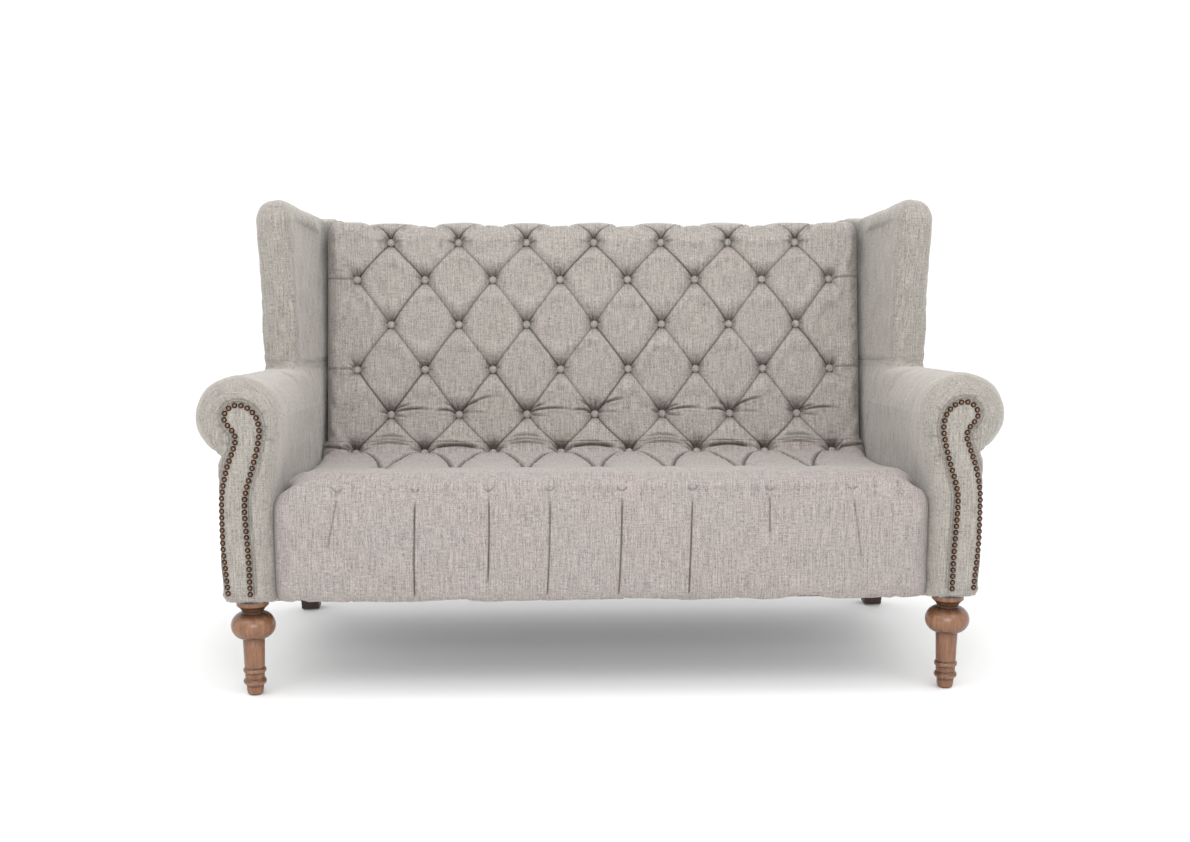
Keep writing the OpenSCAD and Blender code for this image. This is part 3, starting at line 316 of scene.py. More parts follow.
def lattice(x, s):
    """The diamond grid: the folds leave the lowest back row in arcs over the seat."""
    p = np.clip(s - SEAM_ROW, 0, 1)
    arc = SEAM_ROW + 0.8 * np.sqrt(1 - (1 - p) ** 2) + 0.2 * p
    t = np.where((s > SEAM_ROW) & (s < SEAT_ROW), arc, s)
    return x / PITCH + t / 2, x / PITCH - t / 2


def pick(luck, number):
    return luck[number.astype(int) % LUCK]


def tuft_depth(x, s):
    """Depth below the crown in mm, and the painted shade along the fold lines."""
    strong = read(crease_keys, s)
    above, past = s < 0, s - SEAM_ROW
    a, b = lattice(x, s)
    ra, rb = np.round(a), np.round(b)
    oa, ob = np.abs(a - ra), np.abs(b - rb)
    # millimetres across the folds, for a share of a cell
    seat_step = 259  # from the seam row to the seat's row
    p = np.clip(past, 0.004, 1)
    rise = 0.8 * (1 - p) / np.sqrt(1 - (1 - p) ** 2) + 0.2
    scale = np.where(past > 0, 1 / np.hypot(1 / PITCH, rise * 0.5 / seat_step), np.where(s < 1, 123.0, 132.8))
    # above the top row the folds run up and over, side by side
    near = x - PITCH * np.round(x / PITCH)
    spread = 36 * smooth(-s / 0.75) + 10 * np.clip(-s, 0, 2)
    da = np.where(above, np.abs(near - spread), oa * scale)
    db = np.where(above, np.abs(near + spread), ob * scale)
    va, vb = (np.where(above, np.clip(-s * 1.6, 0, 1), v * 2) for v in (ob, oa))
    x_far = np.abs(x)
    inside = 1 - np.where(above, smooth((x_far - 545) / 30), smooth((x_far - 584) / 34))
    inside_line = 1 - np.where(above, smooth((x_far - 560) / 12), smooth((x_far - 582) / 10))
    low = 0.17 + 0.26 * smooth(past / 0.4)
    dome_power = 3.1 - 0.7 * smooth(past / 0.3)

    # a valley beside each fold: how deep it is along the fold, and how it rises beside it
    def valley(v, d):
        rises = np.where(above, (1 - np.clip(d / 24, 0, 1)) ** 2, (1 - np.clip(d / 56, 0, 1)) ** dome_power)
        return (low + (1 - low) * (1 - v) ** 2.4) * rises

    wide = (valley(va, da) ** 4 + valley(vb, db) ** 4) ** 0.25
    depth = read(depth_keys, s) * strong * wide * inside
    over = smooth(-s / 0.4) * (1 - smooth((-s - 1.6) / 0.6))
    hill = np.minimum(np.abs(near) / np.maximum(spread, 1), 1) ** 2 * 3 + 7.5 * smooth((np.abs(near) - spread) / 16)
    depth += np.where(above, hill * over * inside, 0)
    # the thin pleat that lies in each fold
    slim = 1.9 + 2.2 * smooth(past / 0.25)
    la, lb = (np.where(past > 0, 1.0, np.where(above, 0.9, pick(line_luck, number)))
              for number in (ra * 31 + np.floor(b) * 17, rb * 29 + np.floor(a) * 13 + 400))
    fine = np.maximum(np.exp(-(da / slim) ** 2) * la, np.exp(-(db / slim) ** 2) * lb) * strong * inside_line
    depth += (4.2 + 3.0 * smooth(past / 0.25)) * fine
    # some diamonds are filled a little fuller than others
    cell = pick(cell_luck, np.floor(a) * 37 + np.floor(b) * 11)
    full = (np.sin(np.pi * np.clip(oa * 2, 0, 1) / 2) * np.sin(np.pi * np.clip(ob * 2, 0, 1) / 2)) ** 2
    depth -= np.where(above, 0, 1.6 * cell * full * strong * inside)
    # the second value is painted shade along the fold lines
    return depth, 1.15 * fine


wave = wobble(5, 160, 1.0)
small_wave = wobble(6, 45, 0.35)
# the rows where a button's pit, its shadow, the shade above it or the strength of its folds differ from the others'
pit_depth, pit_dark, fan_dark = {5: 6.0, 6: 3.0}, {4: 0.6, 5: 0.9}, {4: 0.75, 5: 1.0}
button_force = {4: 1.35, 5: 1.5, 6: 0.8}
# folds of slack beside the buttons of the lowest back row: from, to, bow and force, for odd and even places
slack = {1: [((9, 9), (54, 22), -0.10, 1.0), ((9, 6), (112, 8), -0.07, 1.1), ((8, 0), (56, -5), 0.05, 0.6),
             ((-8, 2), (-34, 6), 0.1, 0.7), ((-8, 8), (-28, 18), 0.1, 0.6)],
         0: [((9, 11), (62, 33), -0.13, 1.1), ((30, 26), (92, 36), -0.1, 0.8), ((9, 2), (84, 0), -0.05, 0.45),
             ((-8, 3), (-64, 4), 0.12, 1.1), ((-8, 9), (-42, 34), 0.08, 0.85)]}


def ray(centre, ang, near, far, bow, steps):
    """A short line that leaves a button at an angle from straight up."""
    way = np.array([sin(ang), -cos(ang)])
    return bend_line(centre + way * near, centre + way * far, bow, steps)


def button_folds(field):
    depth, dark, u, v = field
    r = np.random.default_rng(21)
    for x, s in buttons:
        row = int(s)
        c = np.array([x, float(along(s))])
        big = button_force.get(row, 1.0)
        far = np.hypot(u - c[0], v - c[1])
        depth += np.exp(-(far / 15.0) ** 2) * pit_depth.get(row, 5.5)
        # painted shade: a dark spot in each button's pit and a fan of painted shade above it
        above = np.clip((c[1] - v) / np.maximum(far, 1), -0.3, 1)
        dark += (pit_dark.get(row, 0.5) * np.exp(-(far / 14.5) ** 2)
                 + fan_dark.get(row, 0.42) * np.exp(-(far / (24.0 * big)) ** 2) * np.clip(above, 0, 1) ** 1.3)
        # a fan of small wrinkles, mostly above the button
        count, width = (11, 2.4) if row > 3 else (7, 2.0)
        for k in range(count):
            ang = radians(-78 + 156 * k / (count - 1) + r.uniform(-7, 7))
            long = r.uniform(16, 32) * big * (1.0 if abs(ang) < 0.9 else 0.8)
            pts = ray(c, ang, 7, 7 + long, r.uniform(-0.12, 0.12), 8)
            stroke(field, pts, r.uniform(1.6, 2.8) * big, width, (0, 0.75), r.uniform(0.8, 1.2), 0.7)
        for k in range(4):
            ang = radians(180 - 60 + 40 * k + r.uniform(-10, 10))
            pts = ray(c, ang, 7, 7 + r.uniform(8, 16) * big, r.uniform(-0.1, 0.1), 6)
            stroke(field, pts, 1.3 * big, 1.9, (0, 0.9), 0.5, 0.3)
        if row == 4:
            for (ax, az), (bx, bz), bow, force in slack[round(x / PITCH) % 2]:
                pts = bend_line(c + (ax, -az), c + (bx * r.uniform(0.9, 1.08), -bz * r.uniform(0.85, 1.15)), bow, 12)
                stroke(field, pts, 6.0 * force, 2.6, (0.06, 0.55), 1.15 * force, 1.8 * force)
        if row in (1, 3, 5) and abs(x) > 560:
            pts = bend_line(c + (copysign(10, x), -2), (copysign(SIDE_FOLD_END, x), c[1] - 4), -0.02, 8)
            stroke(field, pts, 3.0, 2.2, (0.05, 0.0), 0.8, 0.5)


def meeting_folds(field):
    """Where the back meets the seat, between the buttons of the seam row."""
    r = np.random.default_rng(31)
    xs = button_row(SEAM_ROW)
    l5 = float(along(SEAM_ROW))
    for k, (a, b) in enumerate(zip(xs[:-1], xs[1:])):
        if k % 2 == 1:
            stroke(field, bend_line((a + 16, l5 - 6), (b - 26, l5 - 5), -0.075, 16), 10, 3.6, (0.2, 0.25), 1.35, 2.4)
            stroke(field, bend_line((a + 30, l5 - 18), (b - 46, l5 - 15), -0.06, 14), 2.0, 3.0, (0.3, 0.4), 0.35, 0.8)
        else:
            for n in range(3):
                pts = bend_line((a + 22 + 6 * n, l5 - 10 - 10 * n), (b - 20 - 8 * n, l5 - 9 - 10 * n), -0.085, 14)
                stroke(field, pts, 4.2 - 0.6 * n, 2.8, (0.3, 0.3), 0.6, 1.2)
    for side in (-1, 1):
        pts = bend_line((side * 594, l5 - 6), (side * SIDE_FOLD_END, l5 - 20), side * 0.05, 10)
        stroke(field, pts, 8, 4.0, (0.1, 0.0), 1.0, 1.5)
    # loose folds that fan out beside the pits, over the seat's edge folds
    for x in xs:
        for way in (-1, 1):
            end = (x + way * r.uniform(36, 50), l5 - r.uniform(2, 8))
            stroke(field, bend_line((x + way * 14, l5 - 2), end, -way * 0.1, 10), 3.4, 2.4, (0.1, 0.7), 0.9, 1.0)


# the seat's front: each small mark, and the pleat below it: its x, how far down it runs and its strength
front_marks = [(-560, -588, 0.55, 0.5), (-397, -404, 1.0, 1.0), (-242, -250, 0.9, 1.0), (-112, -122, 1.0, 0.85),
               (40, 35, 1.0, 1.0), (190, 187, 1.0, 1.0), (353, 356, 0.42, 0.7), (530, 550, 0.7, 0.45)]


def front_folds(field):
    depth, _, u, v = field
    r = np.random.default_rng(41)
    l_mark, top, hem = (float(along(row)) for row in (7.05, 7.08, 8.0))
    for m, p, end, deep in front_marks:
        for way in (-1, 1):
            far = (m + way * r.uniform(8, 15), l_mark - r.uniform(7, 13))
            stroke(field, bend_line((m + way * 1.5, l_mark + 3), far, way * 0.12, 7), 1.8, 1.9, (0, 0.7), 0.7, 0.4)
        low = lerp(top, hem, end)
        pts = bend_line((m, top + 2), (p + r.uniform(-4, 4), low), r.uniform(-0.01, 0.01), 18)
        stroke(field, pts, 4.4 * deep, 1.6, (0.16, 0.15 if end < 1 else 0.02), 1.25 * deep, 0.9)
        wide = np.exp(-((u - p) / 20.0) ** 2) * smooth((v - top) / 60) * (1 - smooth((v - low) / 40))
        depth += 2.2 * deep * wide


def sheet(name, s_rows, half_of, roll, tuck, fine):
    """A tufted cover as a grid: x across, rows along the path, with rolled ends that tuck down.

    half_of gives half its width at depth y, roll the radius of its ends by row, tuck how far they run on down, and
    fine the number of columns in half a pitch."""
    step = PITCH / (2 * fine)
    count = int(TUFTED_HALF / step)
    core = np.arange(-count, count + 1) * step
    lift = along(s_rows)
    cy, cz, ny, nz = (np.interp(s_rows, sk, values) for values in (*pk.T, *nk.T))
    half = half_of(cy)
    round_off = read(roll, s_rows)[:, None]
    # the seat's front corners are rounded as well
    over = smooth((s_rows - 6.62) / 0.42)
    half = half - over * 72 * (1 - np.sqrt(1 - np.clip((cz - 408) / 80, 0, 0.97) ** 2))
    half = np.maximum(half, core[-1] + 2 + round_off[:, 0])
    # the ends: 0 to 1 is flat, 1 to 2 the rolled edge and 2 to 3 the wall below it
    ends = np.concatenate([k + np.linspace(0, 1, n)[1:] for k, n in enumerate((12, 22, 8))])
    cols = np.concatenate([-ends[::-1], np.zeros(len(core)), ends])
    base = np.concatenate([np.full(len(ends), core[0]), core, np.full(len(ends), core[-1])])
    E, R = np.meshgrid(cols, s_rows)
    B = np.meshgrid(base, s_rows)[0]
    L = lift[:, None] + 0 * E
    side = np.sign(E)
    e = np.abs(E)
    flat_end = half[:, None] - round_off
    x = B + side * np.clip(e, 0, 1) * (flat_end - np.abs(B)) * (e > 0)
    ang = np.clip(e - 1, 0, 1) * pi / 2
    x = x + side * round_off * np.sin(ang)
    front = smooth((R - 6.85) / 0.2)
    sink = round_off * (1 - np.cos(ang)) * (1 - 0.2 * front) + np.clip(e - 2, 0, 1) * lerp(tuck, 2.0, front)
    depth, dark = tuft_depth(x, R)
    for folds in (button_folds, meeting_folds, front_folds):
        folds((depth, dark, x, L))
    keep = 1 - smooth((e - 0.9) / 0.8)
    # painted shade where the ends turn in against the arms and wings, and along the seat's sides beside the arms
    dark = dark + 0.55 * smooth((e - 1.35) / 0.9) + 0.3 * smooth((e - 1.0) / 0.6) * (R < 4.9)
    dark = dark + 0.6 * smooth((e - 1.5) / 0.4) * smooth((R - 5.6) / 0.6)
    depth = depth * keep + wave(x, L) * 0.8 + small_wave(x, L) * 0.7
    low = smooth((R - 7.1) / 0.3)
    sy, sz = lerp(ny[:, None], -1.0, low), lerp(nz[:, None], 0.0, low)
    P = np.stack([x, cy[:, None] - depth * ny[:, None] - sink * sy,
                  cz[:, None] - depth * nz[:, None] - sink * sz], -1)
    a, b = lattice(x, R)
    lean = np.abs(a - np.round(a)) < np.abs(b - np.round(b))
    cloth = np.stack([x + side * sink, L], -1)
    return {"name": name, "P": P, "lean": ~lean, "cloth": cloth, "dark": dark, "x": x, "s": R, "l": L, "e": e}


def settle_sheet(d, every=5):
    """Runs the cloth on every few rows and columns, and adds its movement to the fine grid."""
    P = d["P"]
    rows, cols = P.shape[:2]
    jr, jc = (np.unique(np.append(np.arange(0, n, every), n - 1)) for n in (rows, cols))
    C, x, s, l, e = (d[key][np.ix_(jr, jc)] for key in ("P", "x", "s", "l", "e"))
    # held at its edges and ends and by the buttons, and less firmly along the folds
    pins = np.zeros(C.shape[:2])
    pins[0], pins[-1], pins[:, 0], pins[:, -1] = 1, 1, 1, 1
    a, b = lattice(x, s)
    on = np.minimum(np.abs(a - np.round(a)), np.abs(b - np.round(b)))
    pins = np.maximum(pins, np.where((on < 0.035) & (np.abs(x) < 590), 0.7 * read(crease_keys, s), 0))
    for bx, bs in buttons:
        pins = np.maximum(pins, (np.hypot(x - bx, l - float(along(bs))) < 16) * 1.0)
    pins = np.maximum(pins, (e > 1.6) * 1.0)
    obj = new_object("tmp_settle", C.reshape(-1, 3), grid_faces(*C.shape[:2]))
    move = cloth_relax(obj, pins.ravel(), 11, 3.0, 4.0, 14.0, 0.02).reshape(C.shape)
    bpy.data.objects.remove(obj)
    wide = fill_in(move, jc, cols)
    d["P"] = P + fill_in(wide.transpose(1, 0, 2), jr, rows).transpose(1, 0, 2)


def fill_in(grid, at, count):
    """Adds the columns between those at the given places, up to count."""
    return np.stack([[np.interp(np.arange(count), at, line) for line in grid[:, :, k]] for k in range(3)], -1)


def close_sheet(d, rim):
    """Adds a border that runs back into the padding, so that no open edge shows."""
    P, rows, cols = d["P"], *d["P"].shape[:2]
    verts = [P.reshape(-1, 3)]
    faces = grid_faces(rows, cols, d["lean"])[:, ::-1].tolist()
    cloth, dark = [d["cloth"].reshape(-1, 2)], [d["dark"].ravel()]
    start = rows * cols
    for row, off in ((0, rim[0]), (rows - 1, rim[1])):
        line = P[row] + np.asarray(off, float)
        verts.append(line)
        cloth.append(d["cloth"][row] + (0, 12))
        dark.append(d["dark"][row])
        i = np.arange(cols - 1)
        quad = np.stack([row * cols + i, row * cols + i + 1, start + i + 1, start + i], -1)
        faces += quad[:, ::1 if row == 0 else -1].tolist()
        start += cols
    return new_object(d["name"], np.concatenate(verts), faces, np.concatenate(cloth),
                      np.clip(np.concatenate(dark), 0, 1.2))


def rows_from(start, *legs):
    """Rows of the grid, leg after leg: the row it ends in and its number of rows, with both ends."""
    rows = []
    for end, count in legs:
        rows.append(np.linspace(start, end, count)[:-1])
        start = end
    return np.concatenate(rows + [[start]])


BACK_FINE, SEAT_FINE = 36, 44
back_rows = np.concatenate([np.linspace(TOP, -1.0, 30)[:-1],
                            np.arange(-BACK_FINE, int(SPLIT * BACK_FINE) + 1) / BACK_FINE])
seat_rows = rows_from(SPLIT, (5.0, 12), (5.9, 110), (6.0, 6), (6.5, 30), (7.0, 50), (HEM, 116))
back = sheet("back_cushion_cover", back_rows, lambda y: np.full_like(y, BACK_HALF - 1.5), [(0, 30)], 36.0, BACK_FINE)
seat = sheet("seat_cushion_cover", seat_rows, lambda y: arm_x(y) - ARM_IN - 4.0 + 5.5 * smooth((-280 - y) / 70),
             [(5, 42), (5.5, 50), (6, 60), (6.6, 70), (7.05, 44)], 60.0, SEAT_FINE)
settle_sheet(back)
settle_sheet(seat)
back_obj = close_sheet(back, ((0, -14, -14), (0, 26, -14)))
seat_obj = close_sheet(seat, ((0, 24, 4), (0, 6, 3)))

# ---- buttons
# the section of a covered button: radius and height
lathe = [(0, 5.2), (2.5, 5.1), (5, 4.5), (7, 3.4), (8.4, 2.0), (9.3, 0.4), (9.5, -1.2), (9.0, -2.8), (7.5, -3.8),
         (4, -4.4)]


def button_mesh(name, spots):
    """Covered buttons, each a little tilted and with its own piece of the weave."""
    seg = 28
    # one button: its middle, and a ring for each further point of the section, gathered towards the rim
    flat, puff, high, faces = [(0, 0)], [1], [lathe[0][1]], []
    for k, (rad, h) in enumerate(lathe[1:]):
        a = 2 * pi * np.arange(seg) / seg
        flat += zip(rad * np.cos(a), rad * np.sin(a))
        puff += (1 + 0.012 * np.cos(9 * a) * (2 < k < 8)).tolist()
        high += [h] * seg
        p = 1 + (k - 1) * seg
        for i in range(seg):
            j = (i + 1) % seg
            faces.append([p + i, p + seg + i, p + seg + j, p + j] if k else [0, 1 + i, 1 + j])
    flat, puff, high = np.array(flat), np.array(puff)[:, None], np.array(high)
    r = np.random.default_rng(3)
    verts, all_faces, cloth = [], [], []
    for n, (centre, normal) in enumerate(spots):
        up = np.array(normal) / norm(normal)
        tilt, off = r.uniform(-0.06, 0.06, 2), r.uniform(0, 400, 2)
        verts += [centre + (flat * puff) @ [(1, 0, 0), (0, up[2], -up[1])] + (high + flat @ tilt)[:, None] * up]
        cloth += [flat * puff + off]
        all_faces += [[v + n * len(flat) for v in face] for face in faces]
    verts = np.concatenate(verts)
    return new_object(name, verts, all_faces, np.concatenate(cloth), np.zeros(len(verts)))


def raked(x, y, z):
    """From the back's own leaning frame."""
    y, z = turn(y, z, -RAKE)
    return x, BACK_Y + y, SEAM_H + z


row_z = [496.0, 404.0, 293.5, 183.0, 72.5]
back_spots = [(raked(x, -7.5, z), (0, -cos(RAKE), sin(RAKE)))
              for s, z in enumerate(row_z) for x in button_row(s)]
seat_spots = ([((x, 138.5, 440), (0, -0.62, 0.78)) for x in button_row(SEAM_ROW)]
              + [((x, -123.5, 436), (0, -0.1, 1)) for x in button_row(SEAT_ROW)])
back_buttons = button_mesh("back_button_covers", back_spots)
seat_buttons = button_mesh("seat_button_covers", seat_spots)

# ---- arms and wings
# the nails' line on the facing, in shares of the scroll's radius and of the arm's height
facing_shares = [(-0.21, 0.05), (-0.20, 0.18), (-0.15, 0.36), (-0.14, 0.45), (-0.21, 0.52), (-0.38, 0.616),
                 (-0.52, 0.71), (-0.56, 0.77), (-0.48, 0.827), (-0.27, 0.865), (0, 0.875), (0.22, 0.852), (0.28, 0.816),
                 (0.18, 0.784), (0.05, 0.755), (0.024, 0.72), (0.094, 0.68), (0.18, 0.641), (0.28, 0.59), (0.40, 0.49),
                 (0.42, 0.404), (0.42, 0.261), (0.376, 0.159), (0.33, 0.055)]
knots = np.array([(a * ROLL_R, UNDER_Z + b * (ARM_H - UNDER_Z)) for a, b in facing_shares])
LAST_KNOT = len(knots) - 1


def nail_curve(t):
    """The line of nails, Catmull-Rom through its knots."""
    t = np.clip(np.asarray(t, float), 0, len(knots) - 1)
    i = np.minimum(t.astype(int), len(knots) - 2)
    f = (t - i)[..., None]
    p0, p1 = knots[np.maximum(i - 1, 0)], knots[i]
    p2, p3 = knots[i + 1], knots[np.minimum(i + 2, len(knots) - 1)]
    return (2 * p1 + (p2 - p0) * f + (2 * p0 - 5 * p1 + 4 * p2 - p3) * f * f
            + (3 * p1 - p0 - 3 * p2 + p3) * f ** 3) / 2


def nail_offset(t, off):
    """A line beside the nails' line."""
    e = 0.02
    d = nail_curve(np.minimum(t + e, LAST_KNOT - 0.001)) - nail_curve(np.maximum(t - e, 0))
    d /= norm(d, axis=-1, keepdims=True)
    return nail_curve(t) + off * np.stack([-d[..., 1], d[..., 0]], -1)


# points round the arm's outline: up the inner wall, round the scroll, down the outer wall
NW, NR, NO = 34, 70, 34
t_all = np.concatenate([np.linspace(0, 7, NW, endpoint=False), np.linspace(7, 16, NR, endpoint=False),
                        np.linspace(16, LAST_KNOT, NO)])


def facing_outline(off, hem):
    """A closed line round the nails, cut off straight at the hem."""
    edge = nail_offset(t_all, off)
    edge[0], edge[-1] = (edge[1][0], hem), (edge[-2][0], hem)
    return edge


facing_edge = facing_outline(7.5, FRONT_HEM)
# how far out the arm's outer wall stands at its front, by height
front_out = np.array([(22.5, 537), (26, 530), (31, 501), (38, 467), (40, 434), (41, 399), (41.5, 331), (40, 297),
                      (38.5, 262), (35.5, 240), (31, 229), (23, 221.5), (22, HEM_Z)])


def arm_section(y):
    """The arm's outline at depth y, from the inside hem over the scroll and down the outside."""
    rz = roll_z(y)
    k = smooth((y - FRONT_Y - 50) / 535)
    scroll_in = lerp(ROLL_R, ARM_IN, k)
    hem = float(hem_z(y))
    z = lerp(hem, rz, np.arange(NW) / NW)
    wall = np.stack([-lerp(ARM_IN, scroll_in, smooth((z - 440) / (rz - 440))), z], -1)
    # the scroll, which is squarer on its inner side where it meets the back
    ang = np.radians(180 - np.arange(NR) / (NR - 1) * 255)
    power = 2 + 4 * smooth((y - 11.6 + ROLL_R) / ROLL_R)
    c, s = np.cos(ang), np.sin(ang)
    inner = np.stack([-scroll_in * np.abs(c) ** (2 / power), rz + ROLL_R * np.abs(s) ** (2 / power)], -1)
    roll = np.where((ang > pi / 2)[:, None], inner, np.stack([ROLL_R * c, rz + ROLL_R * s], -1))
    zo = np.linspace(roll[-1][1], hem, NO)
    front = np.interp(-zo, -front_out[:, 1], front_out[:, 0])
    deep = smooth((y - FRONT_Y - 2) / 9) * 0.9 + 0.1 * smooth((y - FRONT_Y - 10) / 90)
    outer = np.stack([lerp(front, np.minimum(ARM_OUT, front + 14), deep), zo], -1)
    outer[0] = roll[-1]
    outer[1] = lerp(roll[-1], outer[1], 0.6)
    return np.concatenate([wall, roll, outer])


def loft(rings):
    """The points and faces of a closed skin through rings of points."""
    P = np.array(rings)
    m, n = P.shape[:2]
    j, i = np.mgrid[0:m - 1, 0:n]
    a, b = j * n + i, j * n + (i + 1) % n
    faces = np.stack([a, b, b + n, a + n], -1).reshape(-1, 4).tolist()
    return P.reshape(-1, 3), faces + [list(range(n)), list(range((m - 1) * n, m * n))[::-1]]


def arm_lump():
    """The arm as a row of outlines from its rounded front edge to the outside back."""
    rings = []
    nose, back_from, back_run = 50, 400, 300.0
    for d in np.concatenate([nose * (1 - np.cos(np.linspace(0, pi / 2, 16))), np.linspace(56, 700, 64)]):
        y = FRONT_Y + 2 + d
        t = sqrt(max(0, 1 - (1 - min(d, nose) / nose) ** 2))
        quick = smooth((d + 2) / 10.0)
        ts = np.where(np.arange(len(facing_edge)) > NW + NR - 6, max(t, quick), t)[:, None]
        sec = lerp(facing_edge, arm_section(y), ts)
        x = lerp(ARM_X, arm_x(y), ts[:, 0]) + sec[:, 0]
        yy = np.full(len(sec), y)
        if d > back_from:
            # the rings lean over until the last one lies in the outside back
            share = (d - back_from) / back_run
            yy = lerp(FRONT_Y + 2 + back_from, out_y(sec[:, 1]) - 1.5, share)
            out = np.array([arm_section(v)[k, 0] for k, v in enumerate(yy)]) if share > 0.999 else sec[:, 0]
            x = arm_x(yy) + out
        rings.append(np.stack([x, yy, sec[:, 1]], -1))
    return loft([rings[0] + (0, 6, 0)] + rings)


LEAN, SPLAY = radians(2.3), radians(14)
WING_REACH, WING_T, WING_H = 184.0, 77.0, 407.559
wing_base = np.array([661.694, 190.151, 645.769])
# the wing's edge, in shares of its reach and height; the first ten points are its front
wing_shares = [(1.00, 0.0), (1.00, 0.05), (0.97, 0.16), (0.955, 0.34), (0.96, 0.52), (0.975, 0.70), (0.995, 0.83),
               (0.985, 0.91), (0.93, 0.965), (0.82, 0.993), (0.66, 1.00), (0.46, 0.985), (0.23, 0.957), (0, 0.93),
               (-0.35, 0.893), (-0.7, 0.858)]


def wing_world(p):
    """From the wing's own frame, which leans out and is splayed."""
    out, z = turn(p[:, 0], p[:, 2], -LEAN)
    return wing_base + np.stack([*turn(out, p[:, 1], SPLAY), z], -1)


def wing_lump():
    """The wing as a row of outlines from its inner to its outer face, with rounded edges between."""
    keys = np.array(wing_shares)
    t = np.linspace(0, len(keys) - 1, 110)
    edge = curve(np.arange(len(keys)), keys, t) * (-WING_REACH, WING_H)
    edge[:, 1] = np.where(t < 1, lerp(-70, edge[:, 1], t), edge[:, 1])
    tail_y = edge[-1][0]
    rear = np.array([(tail_y + 25, edge[-1][1]), (tail_y + 90, edge[-1][1] - 1), (tail_y + 90, 60), (tail_y + 90, -70)])
    q = np.concatenate([edge, rear])
    soft = np.concatenate([np.ones(len(edge)), np.zeros(4)])
    d = np.roll(q, -1, 0) - np.roll(q, 1, 0)
    d /= norm(d, axis=1, keepdims=True)
    inward = np.stack([d[:, 1], -d[:, 0]], -1)
    r = WING_T / 2
    rings = []
    for ang in np.linspace(0, pi, 19):
        power = 1.0 if ang < pi / 2 else 0.75
        inset = r * (1 - abs(sin(ang)) ** power) * soft
        x = r - r * copysign(abs(cos(ang)) ** power, cos(ang))
        pq = q + inward * inset[:, None]
        xl = np.maximum(x, np.clip(pq[:, 0] * tan(SPLAY), 0, 22))
        rings.append(np.stack([xl, pq[:, 0], pq[:, 1]], -1))
    P, faces = loft(rings)
    W = wing_world(P)
    W[:, 1] = np.minimum(W[:, 1], out_y(W[:, 2]) - 1.5)
    return W, faces


def solid_object(name, verts, faces):
    """An object whose faces all look outwards."""
    obj = new_object(name, verts, faces)
    bm = bmesh.new()
    bm.from_mesh(obj.data)
    bmesh.ops.recalc_face_normals(bm, faces=bm.faces)
    bm.to_mesh(obj.data)
    bm.free()
    return obj


def remesh(obj, voxel):
    mod = obj.modifiers.new("remesh", "REMESH")
    mod.mode, mod.voxel_size, mod.use_smooth_shade = "VOXEL", voxel, True
    apply_modifiers(obj)


def relax(points, edges, weight, rounds):
    """Evens a mesh out where weight is above 0."""
    n = len(points)
    one, two = edges.T
    count = np.bincount(edges.ravel(), minlength=n)[:, None]
    w = weight[:, None] * 0.5
    for _ in range(rounds):
        total = np.stack([np.bincount(one, q[two], n) + np.bincount(two, q[one], n) for q in points.T], -1)
        points = points + w * (total / np.maximum(count, 1) - points)
    return points


def arm_cloth(p):
    """Where a point of the arm lies on its cover: across the threads, and along them."""
    x, y, z = p.T
    u, rz = x - arm_x(y), roll_z(y)
    ang = np.arctan2(z - rz, -u)
    rho = np.hypot(u, z - rz)
    on_roll = z > rz
    v = np.where(on_roll | (u > 30), rz + ROLL_R * np.where(ang < -1.7, ang + 2 * pi, ang), z)
    # the scroll ends 1.31 radians past its outer side, and the outer wall hangs from there
    under = rz - ROLL_R * 0.966
    v = np.where((z < under) & (u > 12), rz + ROLL_R * (pi + 1.31) + under - z, v)
    full = np.where(on_roll, ROLL_R, ARM_IN)
    rad = np.where(on_roll, rho, np.abs(u))
    across = y - np.clip(full - rad, -5, 80) * (y < FRONT_Y + 60)
    # on the wing the threads run round its front edge, in the wing's own frame
    qx, qy, qz = (p - wing_base).T
    out, yl = turn(qx, qy, -SPLAY)
    xl = turn(out, qz, LEAN)[0]
    r = WING_T / 2
    reach, height = np.transpose(wing_shares[:10])
    back_of = yl - (r - WING_REACH * np.interp(qz / WING_H, height, reach))
    edge_ang = np.where(back_of > 0, np.sign(xl - r) * pi / 2, np.arctan2(xl - r, -back_of))
    on_wing = r * edge_ang + np.sign(xl - r) * np.maximum(back_of, 0)
    wing = smooth((z - rz - ROLL_R + 4) / 26)
    return np.stack([lerp(across, on_wing, wing), lerp(v, z, wing)], -1)


